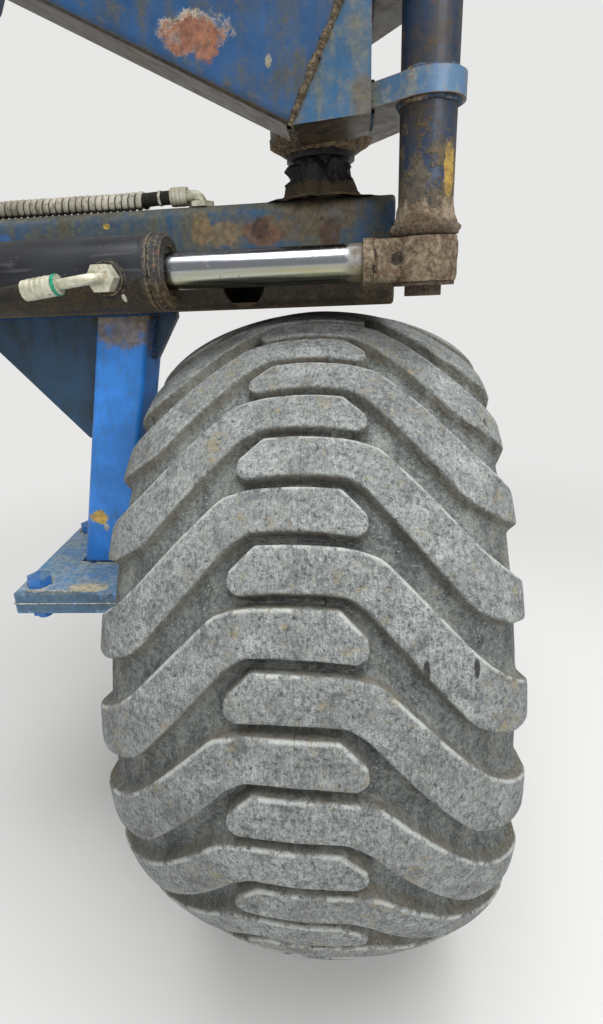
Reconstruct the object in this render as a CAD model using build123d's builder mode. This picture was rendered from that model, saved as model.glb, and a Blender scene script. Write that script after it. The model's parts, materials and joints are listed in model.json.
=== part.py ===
"""Transport wheel corner of a folding land roller.

Row frame: origin at the centre of the bolted inner flange of the main beam, +X out along the
beam and the wheel's axle, +Y to the back of the machine, +Z up. Millimetres.
"""
from build123d import *
from math import cos, pi, radians, sin, tan
import os

# Main beam
beam_width = 120.0
beam_height = 120.0
beam_wall = 8.0
beam_corner = 14.0
beam_end_x = 795.0
beam_cap = 10.0
flange_size = 220.0
flange_thickness = 16.0
flange_hole_spacing = 170.0
flange_hole_radius = 11.0
side_hole_x = 615.0
side_hole_z = -31.0
side_hole_radius = 26.0

# Wheel: a 400/60-15.5 flotation tyre on a 13 inch wide rim
wheel_x = 700.0
wheel_y = 35.0
tyre_radius = 437.0
tyre_beam_gap = 8.0
tyre_half_width = 204.0
tread_half_width = 165.0
tread_edge_radius = 396.5
widest_radius = 345.0
lug_height = 17.0
tyre_wall = 14.0
casing_half_width = 200.0
casing_widest = 300.0
lug_count = 26
lug_phase = 72.56
bead_radius = 197.0
rim_half_width = 165.0
rim_flange_height = 15.0
rim_wall = 7.0
rim_well_radius = 168.0
ledge_drop = 10.0
well_end_x = 32.0
well_edge_x = 52.0
valve_radius = 4.0
valve_length = 38.0
disc_thickness = 9.0
disc_x = 30.0
hub_bore_radius = 80.5
stud_circle_radius = 102.5
stud_count = 6
stud_radius = 9.0
nut_across_flats = 27.0
nut_height = 17.0

# Stub axle and hub
axle_square = 60.0
axle_inner_x = 262.0
axle_shoulder_x = 590.0
spindle_radius = 27.5
spindle_end_x = 772.0
hub_body_radius = 52.0
hub_flange_radius = 124.0
hub_flange_thickness = 14.0
hub_inner_x = 598.0
hub_cap_radius = 40.0
hub_cap_length = 34.0
running_gap = 0.08

# Leg and its bolted foot
leg_width = 72.0
leg_depth = 70.0
leg_wall = 6.0
leg_corner = 8.0
leg_top_x = 446.0
leg_foot_x = 371.0
saddle_height = 20.0
saddle_length = 104.0
saddle_width = 92.0
foot_length = 202.0
foot_width = 238.0
foot_shift_y = -6.0
foot_twist = 4.0
foot_plate = 15.0
foot_bolt_spacing_x = 150.0
foot_bolt_spacing_y = 182.0
foot_bolt_radius = 10.0
foot_bolt_flats = 30.0
foot_bolt_head = 13.0
foot_bolt_tip = 6.0
gusset_plate = 12.0
gusset_reach = 198.0
gusset_drop = 161.0
gusset_lip = 14.0
rib_reach = 28.0
rib_drop = 62.0
rib_toe = 8.0

# Fold pivot
pivot_x = 708.0
pin_radius = 33.0
pin_collar_radius = 46.0
pin_collar_height = 9.0
head_gap = 57.0
sleeve_radius = 47.0
sleeve_height = 165.0
head_web_width = 60.0
pin_cap_height = 10.0

# Lever plates and post
post_x = 821.0
post_y = -115.0
post_radius = 27.5
post_wall = 6.0
post_flange_radius = 32.0
post_flange_thickness = 10.0
post_bottom_z = 7.5
post_top_z = 275.0
lever_plate = 22.0
lever_z = 127.0
upper_lever_z = 230.0
lever_end_radius = 35.0
lever_root_radius = 60.0

# Wing arm
wing_front_y = -130.0
wing_depth = 80.0
wing_height = 150.0
wing_wall = 8.0
wing_length = 400.0
wing_rise = 27.2
wing_foot_x = 686.0
wing_foot_z = 115.0
head_right_x = 765.0
wing_flange_size = 180.0
wing_flange_thickness = 14.0
wing_bolt_circle = 170.0
wing_bolt_radius = 9.0

# Fold ram
ram_z = -15.0
rod_radius = 20.0
barrel_radius = 41.0
barrel_bore_radius = 35.0
barrel_length = 400.0
gland_length = 16.0
gland_end_x = 545.0
gland_radius = 42.0
gland_groove = 2.5
gland_bevel = 4.0
wiper_radius = 27.0
barrel_floor = 24.0
piston_length = 30.0
ram_stroke = 210.0
stroke_margin = 6.0
base_neck = 44.0
base_eye_radius = 30.0
eye_height = 43.0
eye_radius = 33.0
rod_collar_x = 758.0
rod_collar_length = 11.0
rod_collar_radius = 24.0
ram_pin_radius = 15.0
pin_head_radius = 19.0
pin_head_height = 10.0
washer_radius = 32.0
washer_thickness = 4.0
bracket_plate = 14.0
bracket_width = 90.0
bracket_clearance = 1.0
bracket_room = 24.0

# Ram ports, and the hose from the gland's port to a tab near the base
port_x = 489.0
base_port_x = 171.0
port_drop = 6.0
port_radius = 18.0
port_height = 5.0
fitting_flats = 27.0
fitting_nut = 16.0
stem_radius = 5.5
stem_bend = 12.0
stem_reach = 39.0
elbow_reach = 11.0
ferrule_radius = 10.5
ferrule_length = 38.0
hose_radius = 8.0
hose_fall = 7.0
hose_first_run = 44.0
tab_thickness = 6.0
tab_height = 34.0
union_x = 158.0
union_drop = 35.0
union_thread_radius = 7.5
locknut_height = 8.0
plug_height = 9.0

# Wrapped hose along the top of the beam, and the shares of its end runs that the wrap leaves bare
wrap_radius = 10.5
wrap_start = 0.4
wrap_end = 0.7
beam_hose_y = -40.0
beam_tab_x = 56.0
elbow_x = 566.0
elbow_rise = 13.0
elbow_run = 16.0
elbow_bend = 9.5
elbow_ferrule = 20.0
elbow_stem_radius = 7.0
elbow_nut = 6.0

# Clearance between flat faces that the real part welds
weld_gap = 0.3

wheel_z = -(beam_height / 2 + tyre_beam_gap + tyre_radius)
axle_top_z = wheel_z + axle_square / 2
saddle_top_z = axle_top_z + saddle_height
foot_top_z = saddle_top_z + 2 * foot_plate
os.makedirs("parts", exist_ok=True)


def keep(piece, label):
    """Names a finished piece and writes it."""
    piece.part.label = label
    export_step(piece.part, f"parts/{label}.step")


def across_x(x, y=0.0, z=0.0):
    """A plane square to the beam, its own X along +Y and its own Y along +Z."""
    return Plane(origin=(x, y, z), x_dir=(0, 1, 0), z_dir=(1, 0, 0))


def facing_front(y, x=0.0, z=0.0):
    """A plane square to Y, its own X along +X, its own Y along +Z; it extrudes towards -Y."""
    return Plane(origin=(x, y, z), x_dir=(1, 0, 0), z_dir=(0, -1, 0))


# Main beam, its inner flange and its outer cap. The ram's bracket is welded to its side, and the
# flange leaves the bracket room.
barrel_start_x = gland_end_x - gland_length - barrel_length
ram_base_x = barrel_start_x - base_neck
flange_x = ram_base_x - bracket_width / 2 - bracket_room - flange_thickness
beam_start_x = flange_x + flange_thickness
with BuildPart() as main_beam:
    with BuildSketch(across_x(beam_start_x)):
        RectangleRounded(beam_width, beam_height, beam_corner)
        RectangleRounded(
            beam_width - 2 * beam_wall,
            beam_height - 2 * beam_wall,
            beam_corner - beam_wall,
            mode=Mode.SUBTRACT,
        )
    extrude(amount=beam_end_x - beam_cap - beam_start_x)
    with BuildSketch(facing_front(-beam_width / 2 + beam_corner, side_hole_x, side_hole_z)):
        Circle(side_hole_radius)
    extrude(amount=beam_corner, mode=Mode.SUBTRACT)
keep(main_beam, "main_beam")

with BuildPart() as beam_flange:
    with BuildSketch(across_x(flange_x)):
        RectangleRounded(flange_size, flange_size, 12)
        with GridLocations(flange_hole_spacing, flange_hole_spacing, 2, 2):
            Circle(flange_hole_radius, mode=Mode.SUBTRACT)
    extrude(amount=flange_thickness)
keep(beam_flange, "beam_flange")

with BuildPart() as beam_end_cap:
    with BuildSketch(across_x(beam_end_x - beam_cap)):
        RectangleRounded(beam_width, beam_height, beam_corner)
    extrude(amount=beam_cap)
    fillet(beam_end_cap.faces().sort_by(Axis.X)[-1].edges(), 4)
keep(beam_end_cap, "beam_end_cap")

# Leg: a square tube that splays inwards from the beam to the foot
beam_bottom_z = -beam_height / 2
with BuildPart() as wheel_leg:
    with BuildSketch(Plane.XY.offset(foot_top_z)):
        with Locations((leg_foot_x, 0)):
            RectangleRounded(leg_width, leg_depth, leg_corner)
    with BuildSketch(Plane.XY.offset(beam_bottom_z)):
        with Locations((leg_top_x, 0)):
            RectangleRounded(leg_width, leg_depth, leg_corner)
    loft()
    with BuildSketch(Plane.XY.offset(foot_top_z)):
        with Locations((leg_foot_x, 0)):
            Rectangle(leg_width - 2 * leg_wall, leg_depth - 2 * leg_wall)
    with BuildSketch(Plane.XY.offset(beam_bottom_z)):
        with Locations((leg_top_x, 0)):
            Rectangle(leg_width - 2 * leg_wall, leg_depth - 2 * leg_wall)
    loft(mode=Mode.SUBTRACT)
keep(wheel_leg, "wheel_leg")

leg_lean = (leg_top_x - leg_foot_x) / (beam_bottom_z - foot_top_z)


def leg_x(z, side):
    """X of the leg's inner (-1) or outer (+1) face at a height."""
    return leg_foot_x + (z - foot_top_z) * leg_lean + side * leg_width / 2


def foot_plane(z):
    """A level plane at the foot's middle, turned as the foot is."""
    turn = radians(foot_twist)
    return Plane(origin=(leg_foot_x, foot_shift_y, z), x_dir=(cos(turn), sin(turn), 0), z_dir=(0, 0, 1))


# Foot: two plates bolted face to face, the upper one on the leg, the lower one on the axle
foot_plates = (
    # label, top z
    ("leg_foot_plate", foot_top_z),
    ("axle_plate", foot_top_z - foot_plate),
)
for label, top_z in foot_plates:
    with BuildPart() as plate:
        with BuildSketch(foot_plane(top_z - foot_plate)):
            RectangleRounded(foot_length, foot_width, 5)
            with GridLocations(foot_bolt_spacing_x, foot_bolt_spacing_y, 2, 2):
                Circle(foot_bolt_radius + weld_gap, mode=Mode.SUBTRACT)
        extrude(amount=foot_plate)
        chamfer(plate.faces().sort_by(Axis.Z)[-1].outer_wire().edges(), 1.5)
    keep(plate, label)

foot_bottom_z = foot_top_z - 2 * foot_plate
with BuildPart() as foot_bolts:
    with BuildSketch(foot_plane(foot_bottom_z - foot_bolt_head - foot_bolt_tip)):
        with GridLocations(foot_bolt_spacing_x, foot_bolt_spacing_y, 2, 2):
            Circle(foot_bolt_radius)
    extrude(amount=2 * foot_plate + foot_bolt_head + foot_bolt_tip)
    for seat_z in (foot_top_z, foot_bottom_z - foot_bolt_head):
        with BuildSketch(foot_plane(seat_z)):
            with GridLocations(foot_bolt_spacing_x, foot_bolt_spacing_y, 2, 2):
                RegularPolygon(foot_bolt_flats / 2, 6, major_radius=False)
        extrude(amount=foot_bolt_head)
keep(foot_bolts, "foot_bolts")

# Gusset under the beam on the inner side of the leg, and a short rib on its outer side
with BuildPart() as leg_gusset:
    toe_z = beam_bottom_z - gusset_drop - gusset_lip
    with BuildSketch(facing_front(gusset_plate / 2)):
        with BuildLine():
            Polyline(
                (leg_x(beam_bottom_z, -1), beam_bottom_z),
                (leg_x(beam_bottom_z, -1) - gusset_reach, beam_bottom_z),
                (leg_x(beam_bottom_z, -1) - gusset_reach, beam_bottom_z - gusset_lip),
                (leg_x(toe_z, -1) - gusset_lip, toe_z),
                (leg_x(toe_z, -1), toe_z),
                close=True,
            )
        make_face()
    extrude(amount=gusset_plate)
keep(leg_gusset, "leg_gusset")

with BuildPart() as leg_rib:
    low_z = beam_bottom_z - rib_drop
    with BuildSketch(facing_front(gusset_plate / 2)):
        with BuildLine():
            Polyline(
                (leg_x(beam_bottom_z, 1), beam_bottom_z),
                (leg_x(beam_bottom_z, 1) + rib_reach, beam_bottom_z),
                (leg_x(beam_bottom_z, 1) + rib_reach, beam_bottom_z - rib_toe),
                (leg_x(low_z, 1) + rib_toe, low_z),
                (leg_x(low_z, 1), low_z),
                close=True,
            )
        make_face()
    extrude(amount=gusset_plate)
keep(leg_rib, "leg_rib")

# Stub axle: a square bar under the foot, a saddle between them and a round spindle in the hub
with BuildPart() as axle_saddle:
    with BuildSketch(Plane.XY.offset(axle_top_z)):
        with Locations((leg_foot_x, wheel_y)):
            Rectangle(saddle_length, saddle_width)
    extrude(amount=saddle_height)
keep(axle_saddle, "axle_saddle")

with BuildPart() as stub_axle:
    with BuildSketch(across_x(axle_inner_x, wheel_y, wheel_z)):
        RectangleRounded(axle_square, axle_square, 5)
    extrude(amount=axle_shoulder_x - axle_inner_x)
    with BuildSketch(across_x(axle_shoulder_x, wheel_y, wheel_z)):
        Circle(spindle_radius)
    extrude(amount=spindle_end_x - axle_shoulder_x)
    chamfer(stub_axle.faces().sort_by(Axis.X)[-1].edges(), 2)
keep(stub_axle, "stub_axle")


def wheel_section(x, radius):
    """A point of a section that is revolved about the wheel's axle."""
    return (wheel_x + x, wheel_z + radius)


wheel_plane = facing_front(wheel_y)
wheel_axis = Axis((wheel_x, wheel_y, wheel_z), (1, 0, 0))

# Hub with its stud flange and cap
hub_outer_x = disc_x - hub_flange_thickness
with BuildPart() as hub:
    bore = spindle_radius + running_gap
    inner = hub_inner_x - wheel_x
    cap_seat = spindle_end_x - wheel_x + 8
    with BuildSketch(wheel_plane):
        with BuildLine():
            Polyline(
                wheel_section(inner, bore),
                wheel_section(inner, hub_body_radius),
                wheel_section(hub_outer_x, hub_body_radius + 8),
                wheel_section(hub_outer_x, hub_flange_radius),
                wheel_section(disc_x, hub_flange_radius),
                wheel_section(disc_x, hub_bore_radius - 1),
                wheel_section(disc_x + 12, hub_bore_radius - 3),
                wheel_section(disc_x + 18, hub_body_radius),
                wheel_section(cap_seat, hub_body_radius - 6),
                wheel_section(cap_seat, hub_cap_radius - 4),
                wheel_section(cap_seat - 6, hub_cap_radius - 4),
                wheel_section(cap_seat - 6, bore),
                close=True,
            )
        make_face()
    revolve(axis=wheel_axis)
    with BuildSketch(across_x(wheel_x + hub_outer_x, wheel_y, wheel_z)):
        with PolarLocations(stud_circle_radius, stud_count):
            Circle(stud_radius + weld_gap)
    extrude(amount=hub_flange_thickness, mode=Mode.SUBTRACT)
keep(hub, "hub")

with BuildPart() as hub_cap:
    seat = spindle_end_x - wheel_x + 8
    with BuildSketch(wheel_plane):
        with BuildLine():
            Polyline(
                wheel_section(seat + hub_cap_length, 0),
                wheel_section(seat, 0),
                wheel_section(seat, hub_cap_radius),
                wheel_section(seat + 6, hub_cap_radius),
                wheel_section(seat + 6, hub_cap_radius - 5),
                wheel_section(seat + hub_cap_length - 8, hub_cap_radius - 6),
                wheel_section(seat + hub_cap_length, hub_cap_radius - 14),
                close=True,
            )
        make_face()
    revolve(axis=wheel_axis)
keep(hub_cap, "hub_cap")

with BuildPart() as wheel_studs:
    stud_back = wheel_x + hub_outer_x - 6
    with BuildSketch(across_x(stud_back, wheel_y, wheel_z)):
        with PolarLocations(stud_circle_radius, stud_count):
            Circle(stud_radius)
    extrude(amount=hub_flange_thickness + disc_thickness + nut_height + 14)
    with BuildSketch(across_x(wheel_x + disc_x + disc_thickness, wheel_y, wheel_z)):
        with PolarLocations(stud_circle_radius, stud_count):
            RegularPolygon(nut_across_flats / 2, 6, major_radius=False)
    extrude(amount=nut_height)
keep(wheel_studs, "wheel_studs")

# Rim: a drop-centre barrel with rolled flanges, and a dished disc
with BuildPart() as rim:
    half = rim_half_width
    seat = bead_radius
    well = rim_well_radius
    wall = rim_wall
    outer = (
        # x, radius, from the inner flange to the outer one
        (-half - 9, seat + rim_flange_height),
        (-half, seat + rim_flange_height),
        (-half + 1, seat + 1),
        (-half + 36, seat - 1),
        (-half + 46, seat - 8),
        (-72, seat - ledge_drop),
        (-52, well),
        (well_end_x, well),
        (well_edge_x, seat - ledge_drop),
        (half - 46, seat - 8),
        (half - 36, seat - 1),
        (half - 1, seat + 1),
        (half, seat + rim_flange_height),
        (half + 9, seat + rim_flange_height),
    )
    inner = (
        (half + 9, seat + rim_flange_height - 5),
        (half + 5, seat + rim_flange_height - 5),
        (half + 4, seat - wall),
        (half - 38, seat - wall - 2),
        (half - 48, seat - wall - 9),
        (well_edge_x + 2, seat - wall - ledge_drop - 1),
        (well_end_x + 2, well - wall),
        (-54, well - wall),
        (-74, seat - wall - ledge_drop - 1),
        (-half + 48, seat - wall - 9),
        (-half + 38, seat - wall - 2),
        (-half - 4, seat - wall),
        (-half - 5, seat + rim_flange_height - 5),
        (-half - 9, seat + rim_flange_height - 5),
    )
    with BuildSketch(wheel_plane):
        with BuildLine():
            Polyline(*[wheel_section(x, r) for x, r in outer + inner], close=True)
        make_face()
    revolve(axis=wheel_axis)
    with BuildSketch(wheel_plane):
        with BuildLine():
            Polyline(
                wheel_section(disc_x, hub_bore_radius),
                wheel_section(disc_x, hub_flange_radius + 6),
                wheel_section(disc_x - 26, well - wall - 12),
                wheel_section(disc_x - 26, well - wall + 2),
                wheel_section(disc_x - 26 + disc_thickness, well - wall + 2),
                wheel_section(disc_x - 25 + disc_thickness, well - wall - 10),
                wheel_section(disc_x + disc_thickness, hub_flange_radius + 10),
                wheel_section(disc_x + disc_thickness, hub_bore_radius),
                close=True,
            )
        make_face()
    revolve(axis=wheel_axis)
    with BuildSketch(across_x(wheel_x + disc_x, wheel_y, wheel_z)):
        with PolarLocations(stud_circle_radius, stud_count):
            Circle(stud_radius + weld_gap)
    extrude(amount=disc_thickness, mode=Mode.SUBTRACT)
keep(rim, "rim")


def tread_radius(x):
    """Radius of the lugs' tips at a distance from the tyre's middle plane."""
    drop = tyre_radius - tread_edge_radius
    bow = (tread_half_width**2 + drop**2) / (2 * drop)
    return tyre_radius - bow + (bow**2 - x**2) ** 0.5


# Tyre: hollow casing, with bars that start past the middle, run out level and sweep to the edge
lug_outline = (
    # x from the middle plane in mm, place round the tyre in pitches
    (-61, 0.06),
    (-35, 0.34),
    (56, 0.34),
    (84, 0.17),
    (150, -0.48),
    (166, -0.62),
    (215, -0.76),
    (215, -1.22),
    (168, -1.16),
    (130, -0.88),
    (72, -0.26),
    (50, -0.03),
    (-54, -0.03),
)
pitch = 360 / lug_count
lug_middle = -0.43
casing_crown = tyre_radius - lug_height
casing_edge = tread_edge_radius - lug_height
crown_bore = casing_crown - tyre_wall


def lug_point(x, place):
    """A corner of a lug's outline on the plane that touches the tread at the lug's middle."""
    radius = tread_radius(x) if abs(x) < tread_half_width else tread_edge_radius - 26
    return (x, radius * sin(radians((place - lug_middle) * pitch)))


with BuildPart() as lug_limit:
    with BuildSketch(wheel_plane):
        with BuildLine():
            tips = ThreePointArc(
                wheel_section(-tread_half_width, tread_edge_radius),
                wheel_section(0, tyre_radius),
                wheel_section(tread_half_width, tread_edge_radius),
            )
            Polyline(
                tips @ 1,
                wheel_section(tyre_half_width - 9, widest_radius + 24),
                wheel_section(tyre_half_width, widest_radius - 6),
                wheel_section(tyre_half_width - 10, widest_radius - 24),
                wheel_section(tread_half_width + 12, casing_edge - 28),
                wheel_section(tread_half_width - 8, casing_edge - 8),
            )
            roots = ThreePointArc(
                wheel_section(tread_half_width - 8, casing_edge - 8),
                wheel_section(0, casing_crown - 6),
                wheel_section(-tread_half_width + 8, casing_edge - 8),
            )
            Polyline(
                roots @ 1,
                wheel_section(-tread_half_width - 12, casing_edge - 28),
                wheel_section(-tyre_half_width + 10, widest_radius - 24),
                wheel_section(-tyre_half_width, widest_radius - 6),
                wheel_section(-tyre_half_width + 9, widest_radius + 24),
                tips @ 0,
            )
        make_face()
    revolve(axis=wheel_axis)

lugs = []
for side in (1, -1):
    with BuildPart() as lug:
        with BuildSketch(facing_front(wheel_y - casing_edge + 60, wheel_x, wheel_z)):
            with BuildLine():
                corners = [lug_point(x, place) for x, place in lug_outline]
                Polyline(*[(side * x, s) for x, s in corners], close=True)
            make_face()
        extrude(amount=130)
        add(lug_limit.part, mode=Mode.INTERSECT)
    first = lug_phase + (lug_middle - (0 if side > 0 else 0.5)) * pitch
    lugs += [lug.part.rotate(wheel_axis, -first - step * pitch) for step in range(lug_count)]

with BuildPart() as tyre:
    rim_lip = bead_radius + rim_flange_height + 2
    with BuildSketch(wheel_plane):
        with BuildLine():
            tread = ThreePointArc(
                wheel_section(-tread_half_width, casing_edge),
                wheel_section(0, casing_crown),
                wheel_section(tread_half_width, casing_edge),
            )
            ThreePointArc(
                wheel_section(tread_half_width - 17, casing_edge - 16),
                wheel_section(0, crown_bore),
                wheel_section(-tread_half_width + 17, casing_edge - 16),
            )
            for side in (1, -1):
                wall = ThreePointArc(
                    wheel_section(side * tread_half_width, casing_edge),
                    wheel_section(side * casing_half_width, casing_widest),
                    wheel_section(side * (rim_half_width + 4), rim_lip),
                )
                liner = ThreePointArc(
                    wheel_section(side * (tread_half_width - 17), casing_edge - 16),
                    wheel_section(side * (casing_half_width - tyre_wall), casing_widest),
                    wheel_section(side * (rim_half_width - 22), bead_radius + 18),
                )
                Polyline(
                    wall @ 1,
                    wheel_section(side * (rim_half_width - 2), rim_lip),
                    wheel_section(side * (rim_half_width - 3), bead_radius + 1.5),
                    wheel_section(side * (rim_half_width - 28), bead_radius + 1.5),
                    liner @ 1,
                )
        make_face()
    revolve(axis=wheel_axis)
    add(lugs)
keep(tyre, "tyre")

# The valve stands in the outer slope of the rim's well, where its foot touches the slope
slope_run = (well_edge_x - well_end_x) / (bead_radius - ledge_drop - rim_well_radius)
valve_foot_x = well_end_x + 2 + (rim_wall + valve_radius) * slope_run
with BuildPart() as valve:
    with BuildSketch(across_x(wheel_x + valve_foot_x, wheel_y, wheel_z)):
        with Locations((0, rim_well_radius)):
            Circle(valve_radius)
    extrude(amount=valve_length)
keep(valve, "valve")

# Pivot: a greased pin that stands on the end of the beam, and the sleeve that turns on it
beam_top_z = beam_height / 2
sleeve_z = beam_top_z + head_gap
sleeve_top_z = sleeve_z + sleeve_height
with BuildPart() as pivot_pin:
    with BuildSketch(Plane.XY.offset(beam_top_z)):
        with Locations((pivot_x, 0)):
            Circle(pin_collar_radius)
    extrude(amount=pin_collar_height)
    with BuildSketch(Plane.XY.offset(beam_top_z)):
        with Locations((pivot_x, 0)):
            Circle(pin_radius)
    extrude(amount=sleeve_top_z - beam_top_z + weld_gap)
    with BuildSketch(Plane.XY.offset(sleeve_z - pin_collar_height - weld_gap)):
        with Locations((pivot_x, 0)):
            Circle(pin_radius + 8)
    extrude(amount=pin_collar_height)
    with BuildSketch(Plane.XY.offset(sleeve_top_z + weld_gap)):
        with Locations((pivot_x, 0)):
            Circle(pin_radius + 7)
    extrude(amount=pin_cap_height)
    chamfer(pivot_pin.faces().sort_by(Axis.Z)[-1].edges(), 3)
keep(pivot_pin, "pivot_pin")

with BuildPart() as pivot_sleeve:
    with BuildSketch(Plane.XY.offset(sleeve_z)):
        with Locations((pivot_x, 0)):
            Circle(sleeve_radius)
            Circle(pin_radius + running_gap, mode=Mode.SUBTRACT)
    extrude(amount=sleeve_height)
keep(pivot_sleeve, "pivot_sleeve")

# Lever plates from the sleeve to the post, cut round the box that joins the arm to them
wing_back_y = wing_front_y + wing_depth
cut_length = head_right_x - pivot_x + lever_root_radius
cut_width = wing_back_y - post_y + lever_end_radius
for label, base_z in (("lever_plate", lever_z), ("upper_lever_plate", upper_lever_z)):
    with BuildPart() as lever:
        with BuildSketch(Plane.XY.offset(base_z)):
            with Locations((pivot_x, 0)):
                Circle(lever_root_radius)
            with Locations((post_x, post_y)):
                Circle(lever_end_radius)
            make_hull()
            with Locations((pivot_x, 0)):
                Circle(sleeve_radius + weld_gap, mode=Mode.SUBTRACT)
            with Locations((post_x, post_y)):
                Circle(post_radius + weld_gap, mode=Mode.SUBTRACT)
            with Locations((head_right_x + weld_gap, wing_back_y + weld_gap)):
                Rectangle(cut_length, cut_width, align=(Align.MAX, Align.MAX), mode=Mode.SUBTRACT)
        extrude(amount=lever_plate)
    keep(lever, label)

with BuildPart() as post:
    with BuildSketch(Plane.XY.offset(post_bottom_z + post_flange_thickness)):
        with Locations((post_x, post_y)):
            Circle(post_radius)
            Circle(post_radius - post_wall, mode=Mode.SUBTRACT)
    extrude(amount=post_top_z - post_bottom_z - post_flange_thickness)
keep(post, "post")

with BuildPart() as post_flange:
    with BuildSketch(Plane.XY.offset(post_bottom_z)):
        with Locations((post_x, post_y)):
            Circle(post_flange_radius)
    extrude(amount=post_flange_thickness)
    chamfer(post_flange.edges(), 1.5)
keep(post_flange, "post_flange")

with BuildPart() as post_cap:
    with BuildSketch(Plane.XY.offset(post_top_z)):
        with Locations((post_x, post_y)):
            Circle(post_radius)
    extrude(amount=5)
    fillet(post_cap.faces().sort_by(Axis.Z)[-1].edges(), 2)
keep(post_cap, "post_cap")

# Wing arm: a box beam that rises from the head, cut square, and its bolted end flange
rise = radians(wing_rise)
wing_middle = (
    wing_foot_x + wing_height / 2 * sin(rise),
    wing_front_y + wing_depth / 2,
    wing_foot_z + wing_height / 2 * cos(rise),
)
wing_plane = Plane(origin=wing_middle, x_dir=(0, 1, 0), z_dir=(-cos(rise), 0, sin(rise)))
with BuildPart() as wing_arm:
    with BuildSketch(wing_plane):
        RectangleRounded(wing_depth, wing_height, 8)
        Rectangle(wing_depth - 2 * wing_wall, wing_height - 2 * wing_wall, mode=Mode.SUBTRACT)
    extrude(amount=wing_length)
keep(wing_arm, "wing_arm")

with BuildPart() as wing_flange:
    with BuildSketch(wing_plane.offset(wing_length)):
        RectangleRounded(wing_flange_size, wing_flange_size, 10)
        with PolarLocations(wing_bolt_circle / 2, 4, start_angle=45):
            Circle(wing_bolt_radius, mode=Mode.SUBTRACT)
    extrude(amount=wing_flange_thickness)
keep(wing_flange, "wing_flange")

# Head box: the wedge between the arm's square end and the lever plates
seam_top = (wing_foot_x + wing_height * sin(rise), wing_foot_z + wing_height * cos(rise))
with BuildPart() as head_box:
    with BuildSketch(facing_front(wing_back_y)):
        with BuildLine():
            Polyline(
                (wing_foot_x, wing_foot_z),
                (head_right_x, wing_foot_z + 5),
                (head_right_x, seam_top[1] + 4),
                seam_top,
                close=True,
            )
        make_face()
    extrude(amount=wing_depth)
keep(head_box, "head_box")

# Web plates between the sleeve and the box
with BuildPart() as head_web:
    with BuildSketch(Plane.XY.offset(lever_z + lever_plate)):
        with Locations((pivot_x + 14, wing_back_y)):
            Rectangle(head_web_width, -wing_back_y, align=(Align.CENTER, Align.MIN))
        with Locations((pivot_x, 0)):
            Circle(sleeve_radius + weld_gap, mode=Mode.SUBTRACT)
    extrude(amount=upper_lever_z - lever_z - lever_plate)
keep(head_web, "head_web")

# Fold ram: base bracket and pin, barrel with gland and port, rod with its eye and pin
eye_low_z = ram_z - eye_height / 2
ram_y = post_y
bracket_gap = eye_height / 2 + bracket_clearance
with BuildPart() as ram_bracket:
    for low_z in (ram_z + bracket_gap, ram_z - bracket_gap - bracket_plate):
        with BuildSketch(Plane.XY.offset(low_z)):
            with BuildLine():
                half = bracket_width / 2
                Line((ram_base_x - half, -beam_width / 2), (ram_base_x + half, -beam_width / 2))
                Line((ram_base_x + half, -beam_width / 2), (ram_base_x + base_eye_radius, ram_y))
                RadiusArc(
                    (ram_base_x + base_eye_radius, ram_y),
                    (ram_base_x - base_eye_radius, ram_y),
                    base_eye_radius,
                )
                Line((ram_base_x - base_eye_radius, ram_y), (ram_base_x - half, -beam_width / 2))
            make_face()
            with Locations((ram_base_x, ram_y)):
                Circle(ram_pin_radius + weld_gap, mode=Mode.SUBTRACT)
        extrude(amount=bracket_plate)
keep(ram_bracket, "ram_bracket")


def pin_between(x, y, low_z, high_z, head_at_top):
    """A pin with a head at its foot and, if asked, one at its top."""
    with BuildPart() as pin:
        with BuildSketch(Plane.XY.offset(low_z)):
            with Locations((x, y)):
                Circle(ram_pin_radius)
        extrude(amount=high_z - low_z)
        heads = [low_z - pin_head_height]
        if head_at_top:
            heads.append(high_z)
        for head_z in heads:
            with BuildSketch(Plane.XY.offset(head_z)):
                with Locations((x, y)):
                    Circle(pin_head_radius)
            extrude(amount=pin_head_height)
    return pin


bracket_top_z = ram_z + bracket_gap + bracket_plate
bracket_low_z = ram_z - bracket_gap - bracket_plate
keep(pin_between(ram_base_x, ram_y, bracket_low_z, bracket_top_z, True), "ram_base_pin")

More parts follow.
